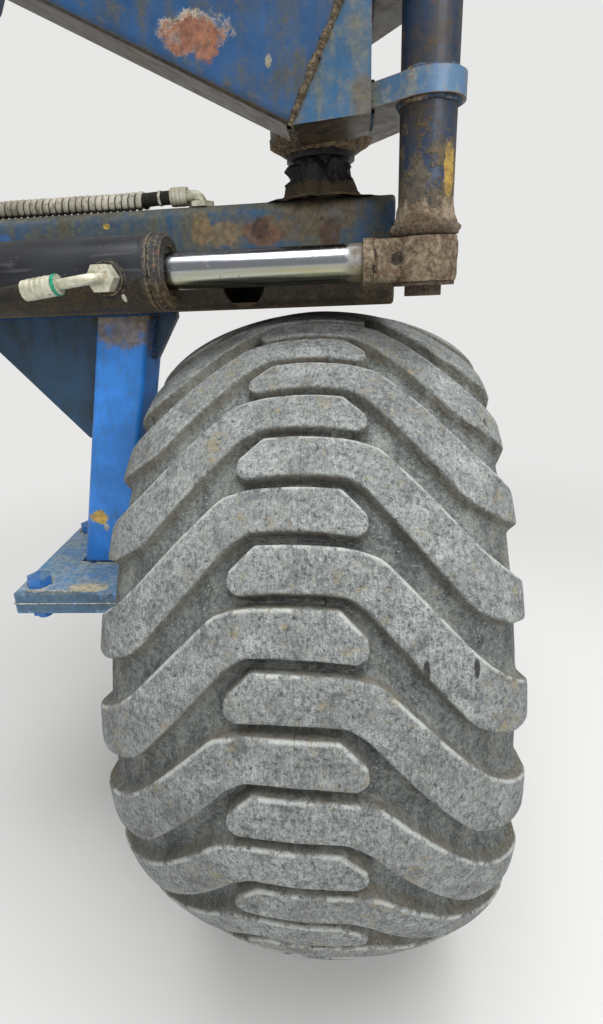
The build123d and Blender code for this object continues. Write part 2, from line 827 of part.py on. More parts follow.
# The barrel carries a boss at each port and the tab that holds the hose's union
port_z = ram_z - port_drop
port_face_y = ram_y - barrel_radius - port_height
elbow_y = port_face_y - fitting_nut - elbow_reach
union_y = elbow_y
union_z = ram_z - union_drop
with BuildPart() as ram_barrel:
    with BuildSketch(across_x(barrel_start_x, ram_y, ram_z)):
        Circle(barrel_radius)
    extrude(amount=barrel_length)
    for x in (port_x, base_port_x):
        with BuildSketch(facing_front(ram_y, x, port_z)):
            Circle(port_radius)
        extrude(amount=ram_y - port_face_y)
    with BuildSketch(across_x(union_x - tab_thickness, union_y - tab_height / 2, union_z)):
        Rectangle(ram_y - union_y, tab_height, align=(Align.MIN, Align.CENTER))
    extrude(amount=tab_thickness)
    with BuildSketch(across_x(union_x - tab_thickness, union_y, union_z)):
        Circle(union_thread_radius + weld_gap)
    extrude(amount=tab_thickness, mode=Mode.SUBTRACT)
    with BuildSketch(across_x(barrel_start_x + barrel_floor, ram_y, ram_z)):
        Circle(barrel_bore_radius)
    extrude(amount=barrel_length - barrel_floor, mode=Mode.SUBTRACT)
    with BuildSketch(across_x(ram_base_x, ram_y, ram_z)):
        Rectangle(eye_height - 8, eye_height)
    extrude(amount=barrel_start_x - ram_base_x)
    with BuildSketch(Plane.XY.offset(eye_low_z)):
        with Locations((ram_base_x, ram_y)):
            Circle(base_eye_radius - 1)
    extrude(amount=eye_height)
    with BuildSketch(Plane.XY.offset(eye_low_z)):
        with Locations((ram_base_x, ram_y)):
            Circle(ram_pin_radius + running_gap)
    extrude(amount=eye_height, mode=Mode.SUBTRACT)
keep(ram_barrel, "ram_barrel")

gland_profile = (
    # distance from the barrel, radius
    (0, rod_radius + running_gap),
    (0, gland_radius),
    (gland_groove, gland_radius),
    (gland_groove, gland_radius - gland_groove),
    (2 * gland_groove, gland_radius - gland_groove),
    (2 * gland_groove, gland_radius),
    (gland_length - gland_bevel, gland_radius),
    (gland_length, gland_radius - gland_bevel),
    (gland_length, wiper_radius),
    (gland_length - gland_groove, wiper_radius),
    (gland_length - gland_groove, rod_radius + running_gap),
)
with BuildPart() as ram_gland:
    with BuildSketch(facing_front(ram_y)):
        with BuildLine():
            corners = [(gland_end_x - gland_length + x, ram_z + r) for x, r in gland_profile]
            Polyline(*corners, close=True)
        make_face()
    revolve(axis=Axis((gland_end_x, ram_y, ram_z), (1, 0, 0)))
keep(ram_gland, "ram_gland")

rod_start_x = barrel_start_x + barrel_floor + ram_stroke + stroke_margin
with BuildPart() as ram_rod:
    with BuildSketch(across_x(rod_start_x, ram_y, ram_z)):
        Circle(rod_radius)
    extrude(amount=rod_collar_x - rod_start_x)
    with BuildSketch(across_x(rod_start_x, ram_y, ram_z)):
        Circle(barrel_bore_radius - weld_gap)
    extrude(amount=piston_length)
keep(ram_rod, "ram_rod")

with BuildPart() as rod_eye:
    with BuildSketch(across_x(rod_collar_x, ram_y, ram_z)):
        Circle(rod_collar_radius)
    extrude(amount=rod_collar_length)
    with BuildSketch(across_x(rod_collar_x + rod_collar_length, ram_y, ram_z)):
        RectangleRounded(eye_height, eye_height, 6)
    extrude(amount=post_x - rod_collar_x - rod_collar_length)
    with BuildSketch(Plane.XY.offset(eye_low_z)):
        with Locations((post_x, post_y)):
            Circle(eye_radius)
    extrude(amount=eye_height)
    with BuildSketch(Plane.XY.offset(eye_low_z)):
        with Locations((post_x, post_y)):
            Circle(ram_pin_radius + weld_gap)
    extrude(amount=eye_height, mode=Mode.SUBTRACT)
keep(rod_eye, "rod_eye")

with BuildPart() as rod_washer:
    with BuildSketch(Plane.XY.offset(eye_low_z - washer_thickness - weld_gap)):
        with Locations((post_x, post_y)):
            Circle(washer_radius)
            Circle(ram_pin_radius + weld_gap, mode=Mode.SUBTRACT)
    extrude(amount=washer_thickness)
keep(rod_washer, "rod_washer")

rod_pin_low_z = eye_low_z - washer_thickness - 2 * weld_gap
keep(pin_between(post_x, post_y, rod_pin_low_z, eye_low_z + eye_height + weld_gap, False), "rod_pin")


def fitting(label, seat, nut_height, stem, bend, stem_size, ferrule_reach, behind=0.0):
    """A hex nut on its seat, a stem along the given points and the ferrule at the stem's end.

    A fitting that goes through a tab has a thread of the given length behind it, with a locknut.
    """
    with BuildLine() as line:
        if bend:
            FilletPolyline(*stem, radius=bend)
        else:
            Line(*stem)
    path = line.wire()
    with BuildPart() as piece:
        with BuildSketch(seat):
            RegularPolygon(fitting_flats / 2, 6, major_radius=False)
        extrude(amount=nut_height)
        if behind:
            with BuildSketch(seat.offset(-behind)):
                Circle(union_thread_radius)
            extrude(amount=behind)
            with BuildSketch(seat.offset(-tab_thickness - locknut_height)):
                RegularPolygon(fitting_flats / 2, 6, major_radius=False)
            extrude(amount=locknut_height)
        with BuildSketch(Plane(origin=path @ 0, z_dir=path % 0)):
            Circle(stem_size)
        sweep(path=path)
        with BuildSketch(Plane(origin=path @ 1, z_dir=path % 1)):
            Circle(ferrule_radius)
        extrude(amount=ferrule_reach)
    keep(piece, label)


def hose_radii(points):
    """The largest bend that each corner of a hose's route leaves room for."""
    runs = [Vector(*end) - Vector(*start) for start, end in zip(points, points[1:])]
    return [
        0.45 * min(one.length, two.length) / tan(radians(one.get_angle(two)) / 2)
        for one, two in zip(runs, runs[1:])
    ]


def hose(label, points, radii, outer, bore=0.0):
    """A tube along a route of straight runs and arcs."""
    with BuildLine() as line:
        FilletPolyline(*points, radius=radii)
    path = line.wire()
    with BuildPart() as tube:
        with BuildSketch(Plane(origin=path @ 0, z_dir=path % 0)):
            Circle(outer)
            if bore:
                Circle(bore, mode=Mode.SUBTRACT)
        sweep(path=path)
    keep(tube, label)
    share = tube.part.volume / (path.length * pi * (outer**2 - bore**2))
    print(label, "length", round(path.length, 1), "radii", [round(r) for r in radii])
    print(label, "volume over section times length", round(share, 4))


def between(start, end, share):
    """A point part of the way from one point to another."""
    return tuple(a + (b - a) * share for a, b in zip(start, end))


# Ram hose: from an elbow on the gland's port, back along the barrel to the union in its tab
def beyond_elbow(reach):
    """A point on the line that the hose leaves the gland's elbow on."""
    fall = radians(hose_fall)
    return (port_x - reach * cos(fall), elbow_y, port_z - reach * sin(fall))


thread_length = tab_thickness + 2 * locknut_height
half_nut = fitting_nut / 2
elbow_stem = [
    (port_x, port_face_y - half_nut, port_z),
    (port_x, elbow_y, port_z),
    beyond_elbow(stem_reach),
]
port_seat = facing_front(port_face_y, port_x, port_z)
fitting("port_fitting", port_seat, fitting_nut, elbow_stem, stem_bend, stem_radius, ferrule_length)

union_stem = [
    (union_x + half_nut, union_y, union_z),
    (union_x + 2 * fitting_nut, union_y, union_z),
]
union_seat = across_x(union_x, union_y, union_z)
union_end_x = union_x + 2 * fitting_nut + ferrule_length
fitting(
    "union_fitting", union_seat, fitting_nut, union_stem, 0, stem_radius, ferrule_length, thread_length
)

ram_hose_route = [
    beyond_elbow(stem_reach + ferrule_length),
    beyond_elbow(stem_reach + ferrule_length + hose_first_run),
    (319, -186, -46.5),
    (union_end_x + hose_first_run, union_y, union_z),
    (union_end_x, union_y, union_z),
]
hose("ram_hose", ram_hose_route, hose_radii(ram_hose_route), hose_radius)

with BuildPart() as port_plug:
    with BuildSketch(facing_front(port_face_y, base_port_x, port_z)):
        RegularPolygon(fitting_flats / 2, 6, major_radius=False)
    extrude(amount=plug_height)
keep(port_plug, "port_plug")

# Wrapped hose on the beam: from a union in a tab near the inner flange to an elbow in the beam's top
beam_hose_z = beam_top_z + wrap_radius + weld_gap
beam_union_z = beam_top_z + tab_height / 2
elbow_z = beam_top_z + elbow_rise
with BuildPart() as beam_hose_tab:
    with BuildSketch(across_x(beam_tab_x - tab_thickness, beam_hose_y, beam_union_z)):
        Rectangle(tab_height, tab_height)
        Circle(union_thread_radius + weld_gap, mode=Mode.SUBTRACT)
    extrude(amount=tab_thickness)
keep(beam_hose_tab, "beam_hose_tab")

beam_union_end_x = beam_tab_x + 2 * fitting_nut + ferrule_length
beam_stem = [
    (beam_tab_x + half_nut, beam_hose_y, beam_union_z),
    (beam_tab_x + 2 * fitting_nut, beam_hose_y, beam_union_z),
]
beam_seat = across_x(beam_tab_x, beam_hose_y, beam_union_z)
fitting("beam_union", beam_seat, fitting_nut, beam_stem, 0, stem_radius, ferrule_length, thread_length)

elbow_stem = [
    (elbow_x, beam_hose_y, beam_top_z + elbow_nut / 2),
    (elbow_x, beam_hose_y, elbow_z),
    (elbow_x - elbow_run, beam_hose_y, elbow_z),
]
elbow_seat = Plane(origin=(elbow_x, beam_hose_y, beam_top_z))
fitting("beam_elbow", elbow_seat, elbow_nut, elbow_stem, elbow_bend, elbow_stem_radius, elbow_ferrule)

elbow_end_x = elbow_x - elbow_run - elbow_ferrule
beam_hose_route = [
    (beam_union_end_x, beam_hose_y, beam_union_z),
    (166, -40, beam_union_z),
    (230, -41.5, beam_hose_z + 0.2),
    (330, -43, beam_hose_z),
    (412, -42, beam_hose_z),
    (478, -39.5, beam_hose_z),
    (elbow_end_x - 18, beam_hose_y, elbow_z),
    (elbow_end_x, beam_hose_y, elbow_z),
]
beam_hose_radii = hose_radii(beam_hose_route)
hose("beam_hose", beam_hose_route, beam_hose_radii, hose_radius)
wrap_route = [
    between(beam_hose_route[1], beam_hose_route[2], wrap_start),
    *beam_hose_route[2:6],
    between(beam_hose_route[5], beam_hose_route[6], wrap_end),
]
hose("hose_wrap", wrap_route, beam_hose_radii[1:5], wrap_radius, hose_radius + weld_gap)
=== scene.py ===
"""Looks of the transport wheel corner of a folding land roller, in metres, in the row frame.

+X runs out along the beam and the wheel's axle, +Y to the back of the machine, +Z up.
"""
import json
import random
from bisect import bisect_right
from itertools import accumulate
from math import ceil, cos, hypot, pi, radians, sin, tan

import bmesh
import bpy
from mathutils import Matrix, Vector, noise
from mathutils.geometry import delaunay_2d_cdt


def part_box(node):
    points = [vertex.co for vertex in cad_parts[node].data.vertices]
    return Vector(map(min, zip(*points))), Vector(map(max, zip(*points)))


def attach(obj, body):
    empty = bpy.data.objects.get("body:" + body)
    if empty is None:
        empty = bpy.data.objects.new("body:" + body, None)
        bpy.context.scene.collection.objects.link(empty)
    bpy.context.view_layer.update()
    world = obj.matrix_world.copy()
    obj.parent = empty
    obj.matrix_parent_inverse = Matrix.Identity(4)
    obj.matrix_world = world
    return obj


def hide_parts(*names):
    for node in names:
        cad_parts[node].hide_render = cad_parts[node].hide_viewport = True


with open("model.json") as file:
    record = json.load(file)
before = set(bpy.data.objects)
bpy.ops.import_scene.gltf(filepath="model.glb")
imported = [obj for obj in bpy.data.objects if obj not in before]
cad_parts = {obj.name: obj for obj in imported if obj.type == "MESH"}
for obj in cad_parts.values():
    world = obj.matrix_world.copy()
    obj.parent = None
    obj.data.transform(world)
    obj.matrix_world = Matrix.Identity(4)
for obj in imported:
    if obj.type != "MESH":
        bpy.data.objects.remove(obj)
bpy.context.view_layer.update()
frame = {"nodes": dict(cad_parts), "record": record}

MM = 0.001
X_AXIS, Y_AXIS, Z_AXIS = Matrix.Identity(3)
NODES = frame["nodes"]
random.seed(11)

# The photo's camera, in the row frame; its focal length and offset are in the photo's pixels
IMAGE_HEIGHT = 1024
FOCAL_PX = 531.0
OFFSET_PX = (-14.37, -51.89)
CAMERA_AT = Vector((0.7495, -0.7253, -0.0456))
YAW, PITCH, ROLL = 0.1337, 0.300, -0.0408
SENSOR = 36.0

# Wheel
WHEEL_AT = Vector((0.700, 0.035, -0.505))
TYRE_RADIUS = 437.0
LUG_COUNT = 26
FIRST_LUG_ANGLE = radians(72.56)
PITCH_ANGLE = 2 * pi / LUG_COUNT
PITCH_MM = PITCH_ANGLE * TYRE_RADIUS


def add_object(name, data):
    piece = bpy.data.objects.new(name, data)
    bpy.context.scene.collection.objects.link(piece)
    return piece


def make_camera():
    """The camera that took the photo."""
    forward = Vector((-sin(YAW) * cos(PITCH), cos(YAW) * cos(PITCH), -sin(PITCH)))
    level = Vector((cos(YAW), sin(YAW), 0))
    upright = level.cross(forward)
    right = level * cos(ROLL) + upright * sin(ROLL)
    up = upright * cos(ROLL) - level * sin(ROLL)
    data = bpy.data.cameras.new("camera")
    data.sensor_fit = "VERTICAL"
    data.sensor_width = data.sensor_height = SENSOR
    data.lens = SENSOR * FOCAL_PX / IMAGE_HEIGHT
    data.shift_x = -OFFSET_PX[0] / IMAGE_HEIGHT
    data.shift_y = OFFSET_PX[1] / IMAGE_HEIGHT
    data.clip_start = 0.02
    data.clip_end = 200
    camera = add_object("camera", data)
    turned = Matrix((right, up, -forward)).transposed().to_4x4()
    camera.matrix_world = Matrix.Translation(CAMERA_AT) @ turned
    bpy.context.scene.camera = camera


make_camera()


# Hoses: each line is a smooth spline over the control points of its route in the part's source, mm
HOSE_RADIUS = 8.0
RAM_HOSE_ROUTE = (
    (412.574, -188, -30.384), (368.902, -188, -35.746), (319, -186, -46.5), (272, -188, -50),
    (228, -188, -50),
)
BEAM_HOSE_ROUTE = (
    (126, -40, 77), (166, -40, 77), (230, -41.5, 71.0), (330, -43, 70.8), (412, -42, 70.8),
    (478, -39.5, 70.8), (512, -40, 73), (530, -40, 73),
)
WRAP_START_X, WRAP_END_X = 191.6, 501.8


def spline_object(name, route):
    curve = bpy.data.curves.new(name, "CURVE")
    curve.dimensions = "3D"
    curve.resolution_u = 24
    spline = curve.splines.new("NURBS")
    spline.points.add(len(route) - 1)
    for point, place in zip(spline.points, route):
        point.co = (*(c * MM for c in place), 1.0)
        point.radius = HOSE_RADIUS * MM
    spline.order_u = 3
    spline.use_endpoint_u = True
    return add_object(name, curve)


def middle_line(piece):
    """The points along a spline that has no bevel yet, and their distances from its start."""
    mesh = bpy.data.meshes.new_from_object(piece)
    points = [vertex.co.copy() for vertex in mesh.vertices]
    bpy.data.meshes.remove(mesh)
    gaps = ((here - before).length for before, here in zip(points, points[1:]))
    return points, [0.0, *accumulate(gaps)]


def make_hose(node, route, body):
    """A hose of the radius that its spline's points have."""
    hose = spline_object(node + "_line", route)
    line, distances = middle_line(hose)
    hose.data.bevel_depth = 1.0
    hose.data.bevel_resolution = 6
    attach(hose, body)
    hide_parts(node)
    return hose, line, distances


def spiral_guard(line, distances):
    """The guard wound round the beam's hose: one arched strip along a helix."""
    turn_length, steps_per_turn, end_gap = 8.4 * MM, 22, 5 * MM
    strip = (
        # distance along the hose, radius, in mm
        (-3.8, 8.3), (-3.5, 9.3), (-2.2, 10.1), (0.0, 10.5), (2.2, 10.1), (3.5, 9.3), (3.8, 8.3),
    )
    numbers = range(len(line))
    start = min(numbers, key=lambda i: abs(line[i].x - WRAP_START_X * MM))
    end = min(numbers, key=lambda i: abs(line[i].x - WRAP_END_X * MM))

    def frame_at(distance):
        i = max(1, next((k for k, d in enumerate(distances) if d > distance), len(line) - 1))
        share = (distance - distances[i - 1]) / (distances[i] - distances[i - 1])
        along = (line[i] - line[i - 1]).normalized()
        side = along.cross(Z_AXIS).normalized()
        return line[i - 1].lerp(line[i], share), side, side.cross(along)

    first, last = distances[start] + end_gap, distances[end] - end_gap
    steps = int((last - first) / turn_length * steps_per_turn)
    vertices = []
    for k in range(steps + 1):
        angle = 2 * pi * k / steps_per_turn
        base = first + turn_length * k / steps_per_turn
        wobble = 0.25 * sin(k * 0.31) + 0.2 * sin(k * 0.083)
        for along, radius in strip:
            centre, side, up = frame_at(base + (along + wobble) * MM)
            vertices.append(centre + (side * cos(angle) + up * sin(angle)) * radius * MM)
    count = len(strip)
    faces = [
        (a, a + 1, a + count + 1, a + count)
        for first in range(0, steps * count, count) for a in range(first, first + count - 1)
    ]
    mesh = bpy.data.meshes.new("hose_guard")
    mesh.from_pydata(vertices, [], faces)
    mesh.shade_smooth()
    return mesh


ram_hose, ram_line, ram_distances = make_hose("ram_hose", RAM_HOSE_ROUTE, "ram_barrel")
beam_hose, beam_line, beam_distances = make_hose("beam_hose", BEAM_HOSE_ROUTE, "frame")
guard = add_object("hose_guard", spiral_guard(beam_line, beam_distances))
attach(guard, "frame")
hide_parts("hose_wrap")


class Amount:
    """What a node gives out; +, - and * put Math nodes on it."""

    def __init__(self, finish, socket):
        self.finish, self.socket = finish, socket

    def __add__(self, other):
        return self.finish.sum("ADD", self, other)

    def __radd__(self, other):
        return self.finish.sum("ADD", other, self)

    def __sub__(self, other):
        return self.finish.sum("SUBTRACT", self, other)

    def __mul__(self, other):
        return self.finish.sum("MULTIPLY", self, other)


class Finish:
    """One material: short calls make its nodes and lay colours over its skin."""

    def __init__(self, name):
        self.material = bpy.data.materials.new(name)
        self.material.use_nodes = True
        self.tree = self.material.node_tree
        self.shader = self.tree.nodes["Principled BSDF"]
        self.place = self.make("ShaderNodeTexCoord", "Object")
        self.skin = self.normal = None

    def make(self, kind, output, inputs=(), **settings):
        """A node with its settings; inputs gives its sockets numbers or other nodes' outputs."""
        node = self.tree.nodes.new(kind)
        for key, value in settings.items():
            setattr(node, key, value)
        for key, source in dict(inputs).items():
            self.join(source, node.inputs[key])
        return Amount(self, node.outputs[output])

    def join(self, source, socket):
        if isinstance(source, Amount):
            self.tree.links.new(source.socket, socket)
        else:
            socket.default_value = source

    def stretched(self, scale):
        return self.make("ShaderNodeMapping", "Vector", {"Vector": self.place, "Scale": scale})

    def noise(self, scale, detail=4, roughness=0.6, distortion=0.0, place=None):
        return self.make("ShaderNodeTexNoise", "Fac", {
            "Vector": place or self.place, "Scale": scale, "Detail": detail,
            "Roughness": roughness, "Distortion": distortion,
        })

    def cells(self, scale, place=None):
        inputs = {"Vector": place or self.place, "Scale": scale}
        return self.make("ShaderNodeTexVoronoi", "Distance", inputs)

    def span(self, value, low, high, to_low=0.0, to_high=1.0):
        """Maps low..high to to_low..to_high, smoothly and clamped."""
        return self.make("ShaderNodeMapRange", "Result", {
            "Value": value, "From Min": low, "From Max": high, "To Min": to_low, "To Max": to_high,
        }, interpolation_type="SMOOTHSTEP")

    def sum(self, operation, a, b):
        return self.make("ShaderNodeMath", "Value", {0: a, 1: b}, operation=operation)

    def most(self, a, b):
        return self.sum("MAXIMUM", a, b)

    def axis(self, name, of=None):
        return self.make("ShaderNodeSeparateXYZ", name, {"Vector": of or self.place})

    def facing(self, name):
        """A component of the surface's normal in the object's own frame."""
        return self.axis(name, self.make("ShaderNodeTexCoord", "Normal"))

    def attribute(self, name):
        return self.make("ShaderNodeAttribute", "Fac", attribute_name=name)

    def hollow(self, distance):
        """How far open the place is: 1 in the open, towards 0 in corners."""
        return self.make("ShaderNodeAmbientOcclusion", "AO", {"Distance": distance}, samples=4)

    def edges(self, radius):
        """1 on edges, 0 on flats: how far a rounded normal leaves the true one."""
        soft = self.make("ShaderNodeBevel", "Normal", {"Radius": radius}, samples=3)
        flat = self.make("ShaderNodeNewGeometry", "Normal")
        both = {0: soft, 1: flat}
        likeness = self.make("ShaderNodeVectorMath", "Value", both, operation="DOT_PRODUCT")
        return self.span(likeness, 0.995, 0.85)

    def blend(self, share, low, high):
        """A colour between two colours."""
        low, high = ((*c, 1.0) if isinstance(c, tuple) else c for c in (low, high))
        return self.make("ShaderNodeMix", 2, {"Factor": share, 6: low, 7: high}, data_type="RGBA")

    def lay(self, share, tint):
        """Lays another colour over the skin, by its share."""
        self.skin = self.blend(share, self.skin, tint)

    def relief(self, height, distance, strength=1.0):
        """Adds a bump; distance is its depth in metres."""
        inputs = {"Height": height, "Distance": distance, "Strength": strength}
        if self.normal:
            inputs["Normal"] = self.normal
        self.normal = self.make("ShaderNodeBump", "Normal", inputs)

    def paint(self, roughness, metallic=0.0, coat=0.0):
        """Joins the skin and the relief to the shader."""
        inputs = {
            "Base Color": self.skin, "Roughness": roughness, "Metallic": metallic,
            "Coat Weight": coat, "Coat Roughness": 0.2,
        }
        if self.normal:
            inputs["Normal"] = self.normal
        for key, source in inputs.items():
            self.join(source, self.shader.inputs[key])
        return self.material


def rgb(red, green, blue):
    """A colour read as 0..255 screen values, as the linear values that a shader takes."""
    return tuple(
        (c / 255 / 12.92) if c <= 10 else ((c / 255 + 0.055) / 1.055) ** 2.4
        for c in (red, green, blue)
    )


def shaded(tint, factor):
    return tuple(c * factor for c in tint)


SOIL = rgb(102, 90, 68)
DARK_SOIL = rgb(60, 51, 38)
DRY_SOIL = rgb(140, 122, 94)
RUST = rgb(126, 70, 40)
DARK_RUST = rgb(66, 42, 30)
GREASE = rgb(22, 20, 21)


def tyre_rubber():
    """Black rubber under pale field dust: speckled bar tops, smoother darker grooves."""
    m = Finish("tyre_rubber")
    height = m.attribute("height")
    grain = m.noise(640, 3, 0.65)
    coarse = m.noise(230, 4, 0.68)
    patch = m.noise(16, 5, 0.6, 0.4)
    blotch = m.noise(46, 5, 0.65, 0.6)

    scrape = m.noise(430, 4, 0.65, 0.0, m.stretched((1.0, 0.4, 0.4)))
    speckle = m.span(grain * 0.28 + coarse * 0.27 + scrape * 0.27 + blotch * 0.18, 0.40, 0.61)
    m.skin = m.blend(speckle, rgb(94, 98, 98), rgb(174, 178, 175))
    m.lay(m.span(patch, 0.35, 0.65, 0.0, 0.40), rgb(98, 102, 102))
    m.lay(m.span(m.noise(30, 5, 0.68, 0.8), 0.52, 0.64) * 0.42, rgb(62, 66, 68))
    earth = m.span(m.noise(110, 5, 0.7) * 0.6 + patch * 0.4, 0.55, 0.62)
    m.lay(earth * 0.55, rgb(150, 138, 102))
    m.lay(m.span(m.noise(230, 2, 0.5), 0.35, 0.30) * 0.5, rgb(52, 53, 52))
    glints = m.span(m.cells(330), 0.20, 0.10) * m.span(blotch, 0.42, 0.58)
    m.lay(glints * 0.6, rgb(200, 201, 190))
    cuts = m.span(m.cells(30, m.stretched((1.0, 0.30, 0.30))), 0.10, 0.06)
    cuts = cuts * m.span(m.noise(10, 2, 0.5), 0.50, 0.55)
    m.lay(cuts * 0.9, rgb(22, 22, 21))
    worn = m.skin

    drag = m.noise(60, 3, 0.6, 0.3, m.stretched((1.0, 0.35, 0.35)))
    low_dust = m.span(drag * 0.35 + coarse * 0.4 + grain * 0.25, 0.38, 0.64)
    m.skin = m.blend(low_dust, rgb(72, 76, 75), rgb(138, 142, 138))
    specks = m.span(m.cells(260), 0.22, 0.10) * m.span(m.noise(35, 2, 0.5), 0.44, 0.56)
    m.lay(specks * 0.65, rgb(192, 193, 186))
    m.lay(earth * 0.3, rgb(140, 130, 102))
    flank = m.span(height, 0.12, 0.35) * m.span(blotch, 0.35, 0.60, 0.15, 0.5)
    m.lay(flank, rgb(108, 98, 80))

    m.lay(m.span(height, 0.80, 0.99), worn)
    # Pale line along the bars' upper edges: worn rubber with a painted highlight where the edges
    # face the sky
    upper_edge_wear_and_highlight = m.attribute("rim") * m.span(m.noise(40, 4, 0.7), 0.44, 0.54)
    m.lay(upper_edge_wear_and_highlight * 0.55, rgb(206, 209, 204))
    # Painted shade: near-black in the hollows beside and between the bars
    m.lay(m.span(m.hollow(0.014), 0.22, 0.70, 0.60, 0.0), rgb(30, 31, 30))
    # Painted shade: the lowest part of the tyre, near the floor, darker
    m.lay(m.span(m.axis("Z"), -0.62, -0.90, 0.0, 0.28), rgb(46, 48, 46))
    m.relief(grain * 0.5 + coarse * 0.9 + blotch * 0.8 + cuts * -2.0, 0.0022, 0.8)
    outer_half = m.span(m.axis("X") - WHEEL_AT.x, -0.0006, 0.0006)
    m.relief(outer_half * m.span(blotch, 0.4, 0.6), 0.0009)
    return m.paint(m.span(speckle, 0.0, 1.0, 0.93, 0.80))


def field_wear(m, film, film_share, mud_share, rust_share, mud_from=None, under=1.0):
    """Lays dust, mud and rust over the skin and gives the roughness."""
    patch = m.noise(24, 5, 0.62, 0.2)
    fine = m.noise(150, 4, 0.65)
    speck = m.noise(480, 2, 0.6)
    streak = m.noise(1.0, 5, 0.6, 0.1, m.stretched((60, 60, 7)))
    upward = m.facing("Z")
    open_air = m.hollow(0.03)

    dusty = film_share - 0.5 + (patch - 0.5) * 1.5 + (streak - 0.5) * 1.5 + (fine - 0.5) * 0.9
    dusty = dusty + m.span(upward, 0.2, 0.9) * 0.35 + m.span(open_air, 0.9, 0.4, 0.0, 0.35) + 0.5
    dusty = m.span(dusty, 0.15, 0.95, 0.0, 0.94)
    m.lay(dusty, m.blend(m.span(fine, 0.35, 0.65), shaded(film, 0.72), shaded(film, 1.25)))

    olive = m.blend(m.span(fine + patch, 0.8, 1.2), rgb(48, 38, 22), rgb(84, 70, 44))
    m.lay(m.span(upward, -0.35, -0.75) * (0.95 * under), olive)

    muddy = patch * 0.5 + fine * 0.3 + m.noise(9, 3, 0.6) * 0.2
    muddy = muddy + m.span(open_air, 0.75, 0.25, 0.0, 0.08) + (mud_share * 0.3 - 0.15)
    if mud_from is not None:
        high, low, most = mud_from
        muddy = muddy + m.span(m.axis("Z"), high * MM, low * MM, 0.0, most * 0.3)
    mud = m.span(muddy, 0.50, 0.56)
    clod = speck * 0.2 + fine * 0.4 + patch * 0.4
    m.lay(mud * 0.93, m.blend(m.span(clod, 0.36, 0.66), DARK_SOIL, SOIL))

    corner = m.edges(0.0022)
    m.lay(corner * m.span(fine, 0.45, 0.6) * 0.45, rgb(158, 158, 146))
    pock = speck * 0.45 + fine * 0.35 + patch * 0.2
    rust = m.span(pock + corner * 0.10 + (rust_share * 0.16 - 0.08), 0.56, 0.61)
    m.lay(rust * 0.9, m.blend(m.span(speck, 0.4, 0.6), DARK_RUST, RUST))

    m.relief(mud * 0.7 + rust * 0.25 + fine * 0.25, 0.0011, 0.8)
    m.relief(speck * (mud * 0.9 + 0.15), 0.0006, 0.7)
    return m.sum("MINIMUM", dusty * 0.32 + m.most(mud, rust) * 0.3 + 0.42, 0.96)


def blot(m, at, size, tint, share):
    """A ragged patch of another colour, placed in millimetres."""
    inputs = {"Vector": m.place, "Location": shaded(at, MM), "Scale": shaded(size, MM)}
    shifted = m.make("ShaderNodeMapping", "Vector", inputs, vector_type="TEXTURE")
    reach = m.make("ShaderNodeVectorMath", "Value", {0: shifted}, operation="LENGTH")
    ragged = (m.noise(70, 4, 0.65) * 0.65 + m.noise(430, 3, 0.7) * 0.35 - 0.5) * 1.92
    inside = m.span(reach + ragged, 1.0, 0.70)
    mottle = m.span(m.noise(130, 5, 0.68), 0.36, 0.62)
    thin = m.span(m.noise(62, 4, 0.65, 0.4), 0.30, 0.46, 0.35, 1.0)
    m.lay(inside * thin * share, m.blend(mottle, shaded(tint, 0.62), shaded(tint, 1.28)))


def worn_paint(
    name, paint, film, film_share, mud_share, rust_share, mud_from=None, blots=(), under=1.0
):
    """Old blue paint on steel, with its dust, mud and rust."""
    m = Finish(name)
    fade = m.noise(5, 4, 0.55, 0.3) * 0.6 + m.noise(38) * 0.4
    pale = tuple(min(1.0, c * 1.22 + 0.012) for c in paint)
    m.skin = m.blend(m.span(fade, 0.36, 0.64), shaded(paint, 0.80), pale)
    rough = field_wear(m, film, film_share, mud_share, rust_share, mud_from, under)
    for patch in blots:
        blot(m, *patch)
    m.relief(m.noise(260, 2, 0.5), 0.0002, 0.5)
    return m.paint(rough, coat=0.12)


